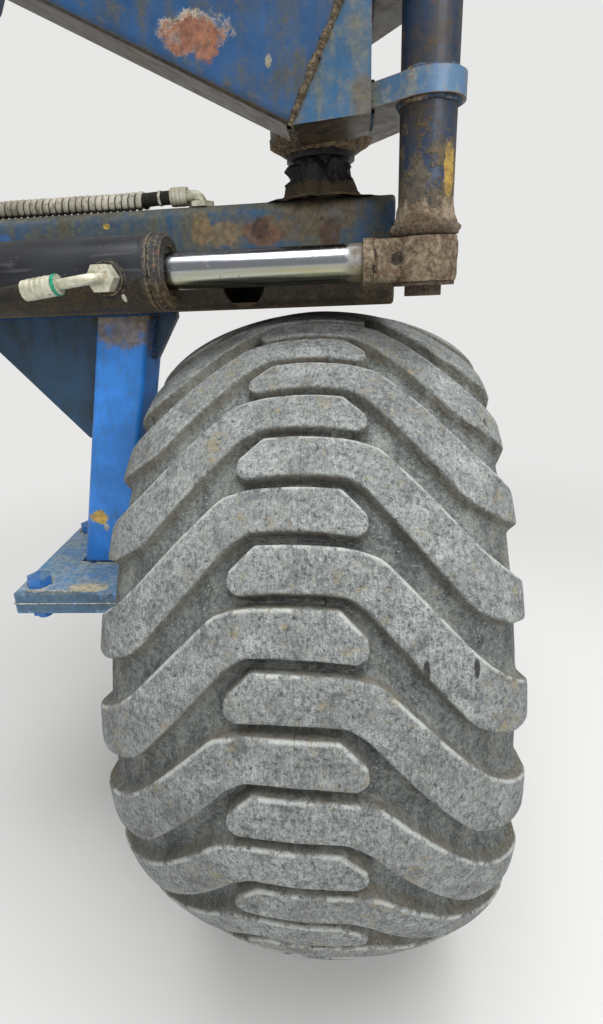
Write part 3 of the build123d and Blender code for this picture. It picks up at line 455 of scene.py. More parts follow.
YELLOW_PRIMER = rgb(214, 176, 62)
PALE_SAND = rgb(206, 194, 160)
BRIGHT_BLUE = rgb(40, 112, 190)
PAINTED = (
    # name, nodes, paint, film, film share, mud, rust, mud from (z, z, share), blots, underside mud
    (
        "leg_blue", ("wheel_leg",), rgb(44, 138, 232), rgb(70, 112, 156), 0.22, -0.1, 0.0,
        (-100, -56, 0.9),
        (
            ((372, -36, -350), (17, 8, 12), YELLOW_PRIMER, 0.95),
            ((380, -36, -366), (5, 6, 7), PALE_SAND, 0.9),
            ((444, -36, -62), (54, 10, 50), DRY_SOIL, 0.85),
            ((480, -20, -84), (12, 30, 60), DRY_SOIL, 0.6),
        ),
        0.2,
    ),
    (
        "bolt_blue", ("foot_bolts",), rgb(36, 108, 188), rgb(110, 140, 160), 0.12, -0.1, 0.1,
        None, (), 0.3,
    ),
    (
        "foot_blue", ("leg_foot_plate", "axle_plate", "axle_saddle"),
        rgb(84, 140, 190), rgb(156, 172, 180), 0.30, -0.04, 0.04, None,
        (
            ((378, -108, -425), (36, 13, 6), PALE_SAND, 0.95),
            ((330, -122, -425), (44, 6, 5), PALE_SAND, 0.6),
            ((371, -131, -438), (190, 15, 24), rgb(60, 84, 98), 0.8),
        ),
        0.6,
    ),
    # The gusset and rib take a darker copy of the blue paint: painted shade under the beam
    (
        "gusset_blue", ("leg_gusset", "leg_rib"), rgb(10, 62, 94), rgb(44, 52, 48), 0.30,
        0.0, 0.10, (-90, -62, 0.3), (), 0.5,
    ),
    (
        "beam_blue", ("main_beam", "beam_end_cap", "beam_hose_tab"), rgb(30, 74, 110),
        rgb(92, 92, 76), 0.62, 0.24, 0.14, (-2, -44, 0.9),
        (
            ((352, -60, 24), (9, 8, 6), BRIGHT_BLUE, 0.5),
            ((318, -60, 36), (8, 8, 5), BRIGHT_BLUE, 0.4),
            ((452, -60, 43), (5, 6, 4), YELLOW_PRIMER, 0.8),
            ((568, -60, 36), (13, 8, 24), rgb(128, 108, 76), 0.9),
            ((596, -60, 27), (24, 8, 16), rgb(132, 112, 80), 0.75),
            ((646, -60, 27), (32, 8, 19), rgb(112, 80, 52), 0.9),
            ((640, -60, 32), (12, 8, 15), rgb(66, 48, 36), 0.8),
            ((706, -60, 44), (58, 9, 34), rgb(96, 84, 64), 0.85),
            ((722, -60, 22), (15, 9, 18), rgb(78, 52, 36), 0.85),
            ((712, -10, 61), (80, 66, 8), rgb(98, 86, 70), 0.9),
            ((790, -60, 34), (12, 9, 22), rgb(30, 70, 110), 0.6),
            # Painted shade from the ram, with mud: a dark brown band along the beam's lower front
            ((560, -60, -44), (262, 8, 34), rgb(46, 39, 30), 0.85),
        ),
        1.0,
    ),
    (
        "flange_blue", ("beam_flange", "ram_bracket"), rgb(46, 84, 128), rgb(110, 106, 94),
        0.42, 0.16, 0.22, None, (), 0.8,
    ),
    (
        "arm_blue", ("wing_arm", "wing_flange"), rgb(8, 66, 112), rgb(64, 65, 52), 0.36, 0.08,
        0.20, None,
        (
            ((594, -130, 200), (38, 9, 19.5), rgb(176, 168, 150), 0.8),
            ((594, -130, 198), (36, 9, 18), rgb(122, 74, 52), 0.95),
            ((606, -130, 186), (14, 9, 14), rgb(136, 88, 62), 0.9),
            ((667, -130, 170), (4, 9, 7), rgb(150, 140, 116), 0.8),
        ),
        1.0,
    ),
    (
        "head_blue", ("head_box", "head_web"), rgb(32, 84, 122), rgb(94, 96, 84), 0.42,
        0.06, 0.20, None,
        (((758, -131, 132), (14, 9, 22), rgb(96, 84, 62), 0.7),),
        1.0,
    ),
    (
        "lever_blue", ("lever_plate", "upper_lever_plate"), rgb(70, 106, 140),
        rgb(124, 126, 116), 0.42, 0.08, 0.42, None,
        (((708, -6, 136), (74, 72, 16), rgb(62, 54, 42), 1.0),), 1.0,
    ),
    (
        "post_blue", ("post", "post_cap"), rgb(10, 42, 72), rgb(60, 50, 34), 0.50, 0.10, 0.28,
        (150, 14, 0.85), (
            ((840, -134, 64), (6, 16, 30), rgb(172, 140, 62), 0.8),
            ((806, -150, 40), (18, 40, 50), rgb(92, 82, 62), 0.8),
        ), 0.4,
    ),
    (
        "sleeve_blue", ("pivot_sleeve",), rgb(58, 90, 126), rgb(100, 98, 88), 0.40, 0.16, 0.28,
        (150, 118, 0.5), (((708, 0, 112), (120, 120, 22), GREASE, 1.0),), 1.0,
    ),
)


def ram_black():
    """Satin black paint of the ram's barrel, brown with dust below, with mud round the gland."""
    m = Finish("black_paint")
    fine = m.noise(210, 4, 0.65)
    patch = m.noise(26, 5, 0.62, 0.2)
    m.skin = m.blend(m.span(m.noise(9, 4, 0.5), 0.35, 0.65), rgb(26, 28, 33), rgb(42, 45, 51))
    scuff = m.span(m.noise(1.0, 4, 0.6, 0.1, m.stretched((14, 120, 120))), 0.62, 0.70)
    m.lay(scuff * 0.22, rgb(112, 112, 110))
    dots = m.span(m.cells(150), 0.14, 0.08) * m.span(patch, 0.50, 0.60)
    m.lay(dots * 0.8, rgb(120, 110, 84))
    low = m.span(m.axis("Z") + (patch + fine - 1.0) * 0.035, -0.017, -0.034)
    crumb = m.span(fine * 0.6 + patch * 0.4, 0.38, 0.62)
    m.lay(low * 0.94, m.blend(crumb, rgb(30, 22, 5), rgb(70, 54, 20)))
    blot(m, (500, -150, -44), (3, 9, 8), rgb(196, 192, 178), 0.9)
    near_gland = m.span(m.axis("X") + (patch - 0.5) * 0.03, 0.523, 0.531)
    m.lay(near_gland * m.span(fine, 0.44, 0.58) * 0.45, rgb(92, 80, 60))
    rust = near_gland * m.span(m.noise(90, 4, 0.65), 0.62, 0.68)
    m.lay(rust * 0.8, RUST)
    ring = m.edges(0.0028) * m.span(fine, 0.40, 0.54)
    m.lay(ring * 0.75, rgb(158, 144, 116))
    grime = m.most(low, near_gland)
    m.relief((fine + patch) * (grime * 0.9 + 0.05), 0.0010, 0.8)
    return m.paint(grime * 0.42 + scuff * 0.15 + 0.38, coat=0.08)


def wheel_paint(name, scale, dark, pale, film, film_share, mud_share, metallic=0.0):
    """Paint of the rim or the hub under dust, with rust at its edges."""
    m = Finish(name)
    m.skin = m.blend(m.span(m.noise(scale, 4, 0.5), 0.35, 0.65), dark, pale)
    return m.paint(field_wear(m, film, film_share, mud_share, 0.22), metallic)


def zinc_plate():
    """Pale zinc plating with yellow patches and dirt in its corners."""
    m = Finish("zinc")
    cloud = m.noise(60)
    m.skin = m.blend(m.span(cloud, 0.38, 0.62), rgb(178, 176, 152), rgb(216, 214, 196))
    m.lay(m.span(m.noise(120, 3, 0.6), 0.54, 0.66) * 0.5, rgb(158, 140, 92))
    m.lay(m.span(m.hollow(0.008), 0.75, 0.3, 0.0, 0.7), rgb(92, 82, 60))
    brown = m.span(m.noise(300, 3, 0.6) * 0.6 + cloud * 0.4, 0.60, 0.67)
    m.lay(brown * 0.7, RUST)
    m.relief(m.noise(420, 3, 0.6), 0.0003, 0.6)
    return m.paint(m.span(cloud, 0.3, 0.7, 0.38, 0.58), 0.35)


def chrome():
    """Hard chrome with fine turning marks, a streaky film, a dirty end at the eye, and painted
    reflections by facing: yellow-green on its lower half, dark bands along its top and bottom.
    """
    m = Finish("chrome_rod")
    film = m.span(m.noise(1.0, 4, 0.6, 0.2, m.stretched((8, 60, 60))), 0.40, 0.70)
    upward = m.facing("Z")
    m.skin = m.blend(film * 0.25, rgb(178, 182, 189), rgb(160, 162, 156))
    # Painted reflection of grass: yellow-green on the lower half, streaked by the film
    m.lay(m.span(upward, 0.15, -0.35) * (film * 0.4 + 0.4), rgb(176, 172, 118))
    # Painted reflection: a dark band along the bottom
    m.lay(m.span(upward + (film - 0.5) * 0.15, -0.52, -0.72) * 0.85, rgb(58, 56, 48))
    # Painted reflection: a dark band along the top
    m.lay(m.span(upward, 0.72, 0.88) * 0.7, rgb(84, 88, 96))
    dirt = m.span(m.axis("X") + (m.noise(60) - 0.5) * 0.05, 0.735, 0.757)
    dirt = m.most(dirt, m.span(m.noise(220, 3, 0.6), 0.66, 0.70) * 0.8)
    m.lay(dirt * 0.85, rgb(96, 82, 58))
    m.relief(m.noise(1.0, 2, 0.5, 0.0, m.stretched((2400, 4, 4))), 0.00003, 0.5)
    return m.paint(dirt * 0.6 + film * 0.08 + 0.17, m.span(dirt, 0.0, 1.0, 1.0, 0.1))


def crusted_steel(name, dry):
    """Rusty steel with mud on it, from fresh and dark at 0 to dry and pale at 1."""
    m = Finish(name)
    fine = m.noise(170, 5, 0.65)
    patch = m.noise(34)
    speck = m.noise(420, 3, 0.65)
    m.skin = m.blend(m.span(speck, 0.38, 0.62), rgb(78, 64, 50), rgb(118, 96, 76))
    clod = patch * 0.4 + fine * 0.6
    earth = m.blend(m.span(clod, 0.36, 0.64), rgb(88, 76, 60), rgb(148, 134, 112))
    m.lay(m.span(clod, 0.40, 0.56), earth)
    orange = m.span(m.noise(60, 4, 0.65, 0.5), 0.54, 0.66)
    m.lay(orange * m.span(m.facing("Z"), 0.3, 0.9, 0.18, 0.85), rgb(150, 100, 72))
    m.lay(m.span(m.noise(90, 4, 0.65), 0.42, 0.34) * 0.6, rgb(52, 42, 34))
    blot(m, (792, -137, -14), (7, 9, 8), rgb(40, 32, 26), 0.9)
    m.lay(0.75 - 0.75 * dry, rgb(44, 32, 26))
    m.relief(patch * 0.8 + fine * 0.7, 0.0060, 0.9)
    m.relief(speck, 0.0010, 0.8)
    return m.paint(0.92)


def old_grease():
    """Black grease with soil stuck to it."""
    m = Finish("greasy_steel")
    lump = m.noise(55, 5, 0.6, 0.4)
    fine = m.noise(240)
    m.skin = m.blend(m.span(fine, 0.4, 0.62), GREASE, rgb(33, 28, 28))
    low = m.span(m.axis("Z"), 0.086, 0.066, 0.0, 0.5)
    earth = m.span(lump * 0.7 + fine * 0.3 + low, 0.60, 0.70)
    m.lay(earth * 0.85, m.blend(fine, DARK_SOIL, SOIL))
    m.relief(lump + fine * 0.4, 0.004, 0.9)
    return m.paint(m.span(earth, 0.0, 1.0, 0.48, 0.9))


def dusty_mud():
    """Dried mud lumps."""
    m = Finish("dried_mud")
    fine = m.noise(190, 5, 0.65)
    patch = m.noise(40)
    m.skin = m.blend(m.span(fine, 0.36, 0.64), rgb(72, 58, 42), rgb(140, 120, 92))
    m.lay(m.span(patch, 0.5, 0.7, 0.0, 0.6), rgb(64, 50, 38))
    m.relief(fine + patch * 0.6, 0.0022, 0.9)
    return m.paint(0.95)


def weld_metal(name, paint, share):
    """A painted weld bead that rust and soil have got into."""
    m = Finish(name)
    fine = m.noise(230, 4, 0.65)
    patch = m.noise(45)
    m.skin = m.blend(m.span(fine, 0.4, 0.6), shaded(paint, 0.7), shaded(paint, 1.2))
    brown = m.span(fine * 0.5 + patch * 0.5, 0.62 - 0.24 * share, 0.70 - 0.24 * share)
    crumb = m.span(m.noise(150, 5, 0.7), 0.38, 0.62)
    m.lay(brown, m.blend(crumb, rgb(48, 38, 28), rgb(146, 126, 96)))
    m.relief(fine + crumb, 0.0022, 0.9)
    return m.paint(0.8)


def hose_rubber():
    """Black hose cover with brown dusty patches."""
    m = Finish("rubber")
    fine = m.noise(260)
    patch = m.noise(30)
    m.skin = m.blend(m.span(fine, 0.4, 0.6), rgb(15, 14, 10), rgb(30, 27, 17))
    dusty = m.span(patch * 0.6 + fine * 0.4, 0.44, 0.62)
    m.lay(dusty * 0.5, rgb(60, 52, 26))
    m.relief(fine, 0.0005, 0.7)
    return m.paint(0.78)


def wrap_plastic():
    """Grey plastic hose guard, pale in patches, with brown grime and painted shade in the gaps
    between its turns.
    """
    m = Finish("hose_wrap")
    fine = m.noise(200)
    patch = m.noise(22)
    m.skin = m.blend(m.span(patch, 0.35, 0.65), rgb(148, 143, 128), rgb(208, 203, 186))
    m.lay(m.span(fine, 0.54, 0.64) * 0.6, rgb(96, 84, 62))
    # Painted shade: near-black brown in the gaps between the turns
    m.lay(m.span(m.hollow(0.006), 0.85, 0.40, 0.0, 0.92), rgb(34, 29, 20))
    m.relief(fine, 0.0005, 0.6)
    return m.paint(0.62)


def mottled(name, scale, dark, pale, depth, roughness):
    """A plain finish between two colours, for small marks."""
    m = Finish(name)
    fine = m.noise(scale, 3, 0.6)
    m.skin = m.blend(m.span(fine, 0.35, 0.65), dark, pale)
    m.relief(fine, depth, 0.5)
    return m.paint(roughness)


# Tyre: one cell of the tread, with one bar of each side, is triangulated flat and wrapped round.
# u is the distance across the tread from its middle line in mm, place counts pitches round it.
# The arcs of the bars' tips and roots: half width, radius at the side, radius at the crown
TIP, ROOT = (204.5, 354.0, TYRE_RADIUS), (195.0, 348.0, 420.0)
TIP_SHAPE = 2 / 1.756
TREAD_U, BLEND_U = 231.0, 262.0
BAR_OUTLINE = (
    # u, place, corner radius in mm; a bar of the outer side, from its tip round its upper edge
    (-61, 0.02, 9), (-59, 0.14, 6), (-37, 0.345, 6), (0, 0.355, 300), (44, 0.340, 60),
    (72, 0.275, 30), (112, -0.09, 200), (154, -0.485, 120), (180, -0.68, 80), (214, -0.82, 60),
    (252, -0.87, 6), (252, -1.16, 8), (197, -1.235, 26), (158, -1.13, 50), (112, -0.66, 300),
    (62, -0.14, 16), (44, -0.030, 20), (0, 0.0, 300), (-52, -0.045, 9),
)
CELL_EDGE = (
    # u, place of the groove line under the bar of the outer side
    (-BLEND_U, -1.0), (-200, -1.0), (-175, -0.92), (-150, -0.75), (-118, -0.44), (-85, -0.12),
    (-68, -0.10), (-40, -0.105), (0, -0.075), (36, -0.10), (50, -0.16), (62, -0.30),
    (75, -0.47), (118, -0.94), (150, -1.25), (175, -1.42), (200, -1.5), (BLEND_U, -1.5),
)
BAR_WALL = (
    # distance out from the bar's upper edge in mm, share of its height
    (10.5, 0.0), (7.0, 0.05), (4.6, 0.17), (3.0, 0.42), (1.6, 0.80), (0.6, 0.95), (-0.7, 0.995),
    (-3.0, 1.0),
)
SIDE_STEPS = 6
SIDEWALL = (
    # radius, half width: from the foot of the bars to the rim
    (312, 202.6), (303, 202.9), (300, 203.9), (296, 203.9), (293, 202.6), (280, 201.5),
    (268, 198.8), (256, 194.6), (248, 191.2), (245, 192.6), (240, 190.6), (237, 187.4),
    (228, 181.6), (221, 176.4), (216, 171.0), (214, 164.0),
)
LINER = (
    # radius, half width: back up inside the casing
    (202, 160), (200, 140), (216, 142), (250, 176), (300, 186), (350, 176), (392, 130), (406, 0),
)


def superellipse(angle, half_width, side_radius, crown):
    s, c = sin(angle), max(0.0, cos(angle))
    x = half_width * abs(s) ** TIP_SHAPE
    return (x if s >= 0 else -x), side_radius + (crown - side_radius) * c ** TIP_SHAPE


def arc_table(steps=900):
    """Rows of arc length and angle along the tips' outline."""
    rows = [(0.0, 0.0)]
    last = superellipse(0, *TIP)
    for i in range(1, steps + 1):
        angle = pi / 2 * i / steps
        point = superellipse(angle, *TIP)
        rows.append((rows[-1][0] + hypot(point[0] - last[0], point[1] - last[1]), angle))
        last = point
    return rows


ARC = arc_table()


def angle_at(u):
    u = min(abs(u) * ARC[-1][0] / TREAD_U, ARC[-1][0])
    row = min(bisect_right(ARC, (u, pi)), len(ARC) - 1)
    (low, low_angle), (high, high_angle) = ARC[row - 1], ARC[row]
    return low_angle + (u - low) / (high - low) * (high_angle - low_angle)


def tread_point(u, place, height):
    """Metres in the row frame of a point of the tread: height 0 is the groove, 1 the bar's top."""
    if abs(u) <= TREAD_U:
        angle = angle_at(u)
        tip, root = superellipse(angle, *TIP), superellipse(angle, *ROOT)
    else:
        t = (abs(u) - TREAD_U) / (BLEND_U - TREAD_U)
        radius, half_width = SIDEWALL[0]
        (tip_width, tip_radius, _), (root_width, root_radius, _) = TIP, ROOT
        tip = (tip_width + t * (half_width - tip_width), tip_radius + t * (radius + 6 - tip_radius))
        root = (
            root_width + sin(t * pi / 2) * (half_width - root_width),
            root_radius + t * (radius + 6 - root_radius),
        )
    x, radius = (low + height * (high - low) for low, high in zip(root, tip))
    return round_wheel(x if u >= 0 else -x, radius, place)


def round_wheel(x, radius, place):
    angle = FIRST_LUG_ANGLE + place * PITCH_ANGLE
    return WHEEL_AT + Vector((x, -radius * cos(angle), radius * sin(angle))) * MM


def rounded(corners, straight=9.0, turn_step=radians(20)):
    """A closed outline through rounded corners, as points in mm."""
    points = []
    count = len(corners)
    for i, (x, y, radius) in enumerate(corners):
        here = Vector((x, y))
        before = Vector(corners[i - 1][:2]) - here
        after = Vector(corners[(i + 1) % count][:2]) - here
        turn = pi - before.angle(after)
        reach = min(radius * tan(turn / 2), 0.45 * before.length, 0.45 * after.length)
        start, end = here + before.normalized() * reach, here + after.normalized() * reach
        steps = max(1, ceil(turn / turn_step))
        for k in range(steps + 1):
            t = k / steps
            points.append(start * (1 - t) ** 2 + here * 2 * t * (1 - t) + end * t * t)
    spread = []
    for point, following in zip(points, points[1:] + points[:1]):
        gap = (following - point).length
        if gap >= 0.6:
            steps = max(1, ceil(gap / straight))
            spread += [point.lerp(following, k / steps) for k in range(steps)]
    return spread


def offset_loop(points, distance):
    """The loop moved out by a distance along its own normals; it runs clockwise."""
    moved = []
    for before, point, after in zip(points[-1:] + points, points, points[1:] + points[:1]):
        along = (point - before).normalized() + (after - point).normalized()
        along.normalize()
        moved.append(point + Vector((-along.y, along.x)) * distance)
    return moved


def is_inside(point, loop):
    x, y = point
    hit = False
    last = loop[-1]
    for here in loop:
        if (here.y > y) != (last.y > y):
            if x < (last.x - here.x) * (y - here.y) / (last.y - here.y) + here.x:
                hit = not hit
        last = here
    return hit


def edge_place(u):
    for (low, a), (high, b) in zip(CELL_EDGE, CELL_EDGE[1:]):
        if low <= u <= high:
            return a + (b - a) * (u - low) / (high - low)


def tread_cell(columns=56, step=9.5):
    """One cell as flat triangles: vertices (u, place, height, rim) and faces."""
    coordinates, facts, edges = [], [], []

    def add_ring(ring, height, rims):
        first = len(coordinates)
        coordinates.extend(ring)
        facts.extend((height, rim) for rim in rims)
        edges.extend((first + i, first + (i + 1) % len(ring)) for i in range(len(ring)))

    tops, feet = [], []
    for side, shift in ((1, 0.0), (-1, 0.5)):
        corners = [(side * u, (place + shift) * PITCH_MM, r) for u, place, r in BAR_OUTLINE]
        outline = rounded(corners[::side])
        outward = offset_loop(outline, 10)
        # rim is 1 on the bars' upper edges and 0.15 on the others; it weights the pale line of wear
        # and painted highlight
        upper = [0.15 + 0.85 * (far.y > near.y + 4) for near, far in zip(outline, outward)]
        for distance, height in BAR_WALL:
            on_rim = 0.9 < height < 0.999
            add_ring(offset_loop(outline, distance), height, [on_rim * share for share in upper])
        feet.append(offset_loop(outline, BAR_WALL[0][0] + 3.0))
        tops.append(offset_loop(outline, BAR_WALL[-1][0] - 3.0))

    across = [BLEND_U * (2 * i / columns - 1) for i in range(columns + 1)]
    border = [Vector((u, edge_place(u) * PITCH_MM)) for u in across]
    right, left = (
        [Vector((u, (edge_place(u) + k / SIDE_STEPS) * PITCH_MM)) for k in range(1, SIDE_STEPS)]
        for u in (BLEND_U, -BLEND_U)
    )
    upper = [Vector((p.x, p.y + PITCH_MM)) for p in reversed(border)]
    limit = border + right + upper + left[::-1]
    add_ring(limit, 0.0, [0.0] * len(limit))

    for i in range(-27, 28):
        for j in range(int(3.2 * PITCH_MM / step)):
            spot = (i * step + j % 2 * step / 2, -1.7 * PITCH_MM + j * step)
            if not is_inside(spot, limit):
                continue
            above = spot[1] - edge_place(spot[0]) * PITCH_MM
            if min(abs(above), abs(above - PITCH_MM)) < 5:
                continue
            on_top = any(is_inside(spot, loop) for loop in tops)
            if on_top or not any(is_inside(spot, loop) for loop in feet):
                coordinates.append(Vector(spot))
                facts.append((float(on_top), 0.0))

    vertices, _, faces, sources, _, _ = delaunay_2d_cdt(coordinates, edges, [], 1, 1e-5)
    flat = [
        (vertex.x, vertex.y / PITCH_MM, *(facts[source[0]] if source else (0.0, 0.0)))
        for vertex, source in zip(vertices, sources)
    ]
    return flat, [face for face in faces if len(face) == 3]


def build_tyre():
    flat, triangles = tread_cell()
    vertices, facts, faces = [], [], []
    found = {}

    def add(vertex, height, rim=0.0):
        vertices.append(vertex)
        facts.append((height, rim))
        return len(vertices) - 1

    def vertex_at(u, place, height, rim):
        turn = place % LUG_COUNT
        key = (round(u, 2), round(turn, 4) % LUG_COUNT, round(height, 3))
        if key not in found:
            found[key] = add(tread_point(u, place, height), height, rim)
        return found[key]

    for lug in range(LUG_COUNT):
        numbers = [vertex_at(u, place + lug, h, rim) for u, place, h, rim in flat]
        trios = (tuple(numbers[i] for i in face) for face in triangles)
        faces += [trio for trio in trios if len(set(trio)) == 3]

    count = LUG_COUNT * SIDE_STEPS
    rings = []
    for side in (1, -1):
        start = edge_place(side * BLEND_U)
        places = [start + k / SIDE_STEPS for k in range(count)]
        last = [vertex_at(side * BLEND_U, place, 0.0, 0.0) for place in places]
        for radius, half_width in SIDEWALL + LINER[:-1]:
            ring = [add(round_wheel(side * half_width, radius, place), 0.3) for place in places]
            for k in range(count):
                n = (k + 1) % count
                faces.append((last[k], last[n], ring[n], ring[k])[::-side])
            last = ring
        rings.append((last, places))
    (outer, places), (inner, inner_places) = rings
    shift = round((inner_places[0] - places[0]) * SIDE_STEPS)
    middle = [add(round_wheel(0, LINER[-1][0], place), 0.0) for place in places]
    for k in range(count):
        n = (k + 1) % count
        a, b = (k - shift) % count, (n - shift) % count
        faces.append((outer[k], middle[k], middle[n], outer[n]))
        faces.append((inner[a], inner[b], middle[n], middle[k]))

    piece = place_parts("tyre_tread", [(vertices, faces)], "wheel", "tyre_rubber")
    for name, values in zip(("height", "rim"), zip(*facts)):
        layer = piece.data.attributes.new(name, "FLOAT", "POINT")
        layer.data.foreach_set("value", values)
    return piece


def place_parts(name, parts, body, slot, finish=None):
    """Joins parts made in the row frame into one piece that rides on a body."""
    vertices, faces = [], []
    for part_vertices, part_faces in parts:
        first = len(vertices)
        vertices += part_vertices
        faces += [tuple(first + i for i in face) for face in part_faces]
    mesh = bpy.data.meshes.new(name)
    mesh.from_pydata(vertices, [], faces)
    work = bmesh.new()
    work.from_mesh(mesh)
    bmesh.ops.recalc_face_normals(work, faces=work.faces)
    work.to_mesh(mesh)
    work.free()
    mesh.shade_smooth()
    mesh.materials.append(finish or MATERIALS[slot])
    piece = add_object(name, mesh)
    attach(piece, body)
    return piece


MATERIALS = {
    "tyre_rubber": tyre_rubber(),
    "blue_paint": worn_paint(
        "blue_paint", rgb(50, 84, 124), rgb(106, 104, 92), 0.45, 0.15, 0.2
    ),
    "black_paint": wheel_paint(
        "hub_paint", 12, rgb(44, 44, 46), rgb(70, 68, 64), rgb(108, 96, 76), 0.40, 0.14
    ),
    "ram_black": ram_black(),
    "rim_paint": wheel_paint(
        "rim_paint", 10, rgb(150, 152, 154), rgb(186, 188, 188), rgb(138, 128, 106),
        0.30, 0.05, 0.25,
    ),
    "zinc": zinc_plate(),
    "chrome_rod": chrome(),
    "rusty_steel": crusted_steel("rusty_steel", 1.0),
    "dark_rust": crusted_steel("dark_rust", 0.1),
    "rust_ledge": crusted_steel("rust_ledge", 0.45),
    "greasy_steel": old_grease(),
    "rubber": hose_rubber(),
    "hose_wrap": wrap_plastic(),
    "dried_mud": dusty_mud(),
}
SPECIAL = {
    "ram_barrel": "ram_black", "ram_gland": "ram_black", "rod_pin": "dark_rust",
    "rod_washer": "dark_rust", "post_flange": "rust_ledge",
}
for title, nodes, *look in PAINTED:
    MATERIALS[title] = worn_paint(title, *look)
    SPECIAL.update((name, title) for name in nodes)

slot_of = {part["node"]: part["material_slot"] for part in frame["record"]["subparts"]}
for name, node in NODES.items():
    node.data.materials.clear()
    node.data.materials.append(MATERIALS[SPECIAL.get(name, slot_of[name])])
for hose in (ram_hose, beam_hose):
    hose.data.materials.append(MATERIALS["rubber"])
guard.data.materials.append(MATERIALS["hose_wrap"])

tread = build_tyre()
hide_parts("tyre")


# Details too small for the CAD: weld beads, cracked joint lines, crusts of mud and grease, crimps
BEAD_STEP, RIPPLE = 1.3, 3.2


def soft_noise(x, y, z=0.0):
    return noise.noise(Vector((x, y, z)))


def ring_of(points):
    return list(points) + [points[0]]


def spread_points(path, step):
    """Points every step mm along straight runs."""
    points = []
    for start, end in zip(path, path[1:]):
        start, end = Vector(start), Vector(end)
        count = max(1, round((end - start).length / step))
        points += [start.lerp(end, k / count) for k in range(count)]
    return points + [Vector(path[-1])]


def round_offsets(side, up, count):
    """Unit steps from an axis to the corners of a ring round it."""
    angles = [2 * pi * k / count for k in range(count)]
    return [side * cos(angle) + up * sin(angle) for angle in angles]


def bead_parts(path, radius, broken=0.0, sides=7):
    """Vertices and faces of a weld bead along a path in mm; broken is the share left out."""
    points = spread_points(path, BEAD_STEP)
    phase = random.uniform(0, 100)
    vertices, faces, rings = [], [], []
    for i, point in enumerate(points):
        along = (points[min(i + 1, len(points) - 1)] - points[max(i - 1, 0)]).normalized()
        side = along.cross(Vector((0.31, 0.52, 0.80))).normalized()
        up = side.cross(along)
        travelled = BEAD_STEP * i
        if soft_noise(travelled * 0.075, phase, 9.0) * 0.5 + 0.5 < broken * 0.9:
            rings.append(None)
            continue
        wave = abs(sin(pi * travelled / RIPPLE + 1.5 * soft_noise(travelled * 0.05, phase)))
        swell = 0.42 * soft_noise(travelled * 0.11, phase, 4.0)
        crumb = 0.30 * soft_noise(travelled * 0.42, phase, 6.0)
        size = radius * (0.74 + 0.20 * wave + swell + crumb)
        drift = Vector([soft_noise(travelled * 0.06, phase, z) for z in (1.0, 2.0, 3.0)])
        centre = point + drift * radius * 0.35
        rings.append(len(vertices))
        vertices += [(centre + out * size) * MM for out in round_offsets(side, up, sides)]
    for a, b in zip(rings, rings[1:]):
        if a is not None and b is not None:
            pairs = [(k, (k + 1) % sides) for k in range(sides)]
            faces += [(a + k, b + k, b + n, a + n) for k, n in pairs]
    return vertices, faces


def ring_faces(rows, around):
    """Faces between rows of vertices that each run round once."""
    faces = []
    for a in range(0, (rows - 1) * around, around):
        for k in range(around):
            n, b = (k + 1) % around, a + around
            faces.append((a + k, a + n, b + n, b + k))
    return faces


def crust_parts(centre, profile, lumps, grain, seed, around=84):
    """A lumpy skin round an upright axis: profile is (radius, z) in mm, lumps its depth in mm."""
    vertices = []
    for radius, z in profile:
        for out in round_offsets(X_AXIS, Y_AXIS, around):
            place = out * radius + Z_AXIS * z
            bulge = noise.fractal(place * grain + Vector((seed, 0, 0)), 0.8, 2.0, 4)
            rise = soft_noise(place.x * grain, place.y * grain, seed + 7.0)
            spot = Vector((*centre, z + 0.4 * lumps * rise)) + out * (radius + lumps * bulge)
            vertices.append(spot * MM)
    return vertices, ring_faces(len(profile), around)


def band_parts(centre, along, radius, half_width, thickness, around=40):
    """A rounded band round a hose or a stem."""
    side = along.cross(Z_AXIS).normalized()
    profile = (
        (-half_width, 0.0), (-half_width, 0.7 * thickness), (-0.7 * half_width, thickness),
        (0.7 * half_width, thickness), (half_width, 0.7 * thickness), (half_width, 0.0),
    )
    vertices = [
        (Vector(centre) + along * shift + out * (radius + rise)) * MM
        for shift, rise in profile
        for out in round_offsets(side, side.cross(along), around)
    ]
    return vertices, ring_faces(len(profile), around)


def rectangle_x(x, y_low, y_high, z_low, z_high):
    return ring_of([(x, y_low, z_low), (x, y_high, z_low), (x, y_high, z_high), (x, y_low, z_high)])


def rectangle_z(z, x_low, x_high, y_low, y_high):
    return ring_of([(x_low, y_low, z), (x_high, y_low, z), (x_high, y_high, z), (x_low, y_high, z)])


def circle(centre, radius, side=X_AXIS, up=Y_AXIS, count=48):
    return ring_of([Vector(centre) + out * radius for out in round_offsets(side, up, count)])


def box_mm(node):
    low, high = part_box(node)
    return [c / MM for c in low], [c / MM for c in high]


# Radii of the beads, and places and radii of the round seams, in mm
BEAD, THIN_BEAD, RAM_BEAD, EYE_BEAD, SEAM_BEAD, SLEEVE_BEAD = 3.1, 2.2, 2.4, 3.0, 4.3, 4.5
ARM_BACK, ARM_FRONT = -50.0, -130.0
PIVOT_X, PIVOT_SEAM = 708.0, 48.0
POST_X, POST_Y, POST_SEAM, POST_CAP_SEAM = 821.0, -115.0, 28.5, 27.0
HEAD_LEFT_X, HEAD_END_Y = 676, -114
RAM_Y, RAM_Z = -115.0, -15.0
BOSSES_X, BOSS_Y, BOSS_Z, BOSS_SEAM = (489, 171), RAM_Y - 37.5, RAM_Z - 6, 18.8
BASE_X, BASE_SEAM = 129.5, 30.0
EYE_X, EYE_SEAM = 769.5, 22.0
BRACE_HALF = 7.5
beam_low, beam_high = box_mm("main_beam")
plate_low, plate_high = box_mm("leg_foot_plate")
saddle_low, saddle_high = box_mm("axle_saddle")
bracket_low, bracket_high = box_mm("ram_bracket")

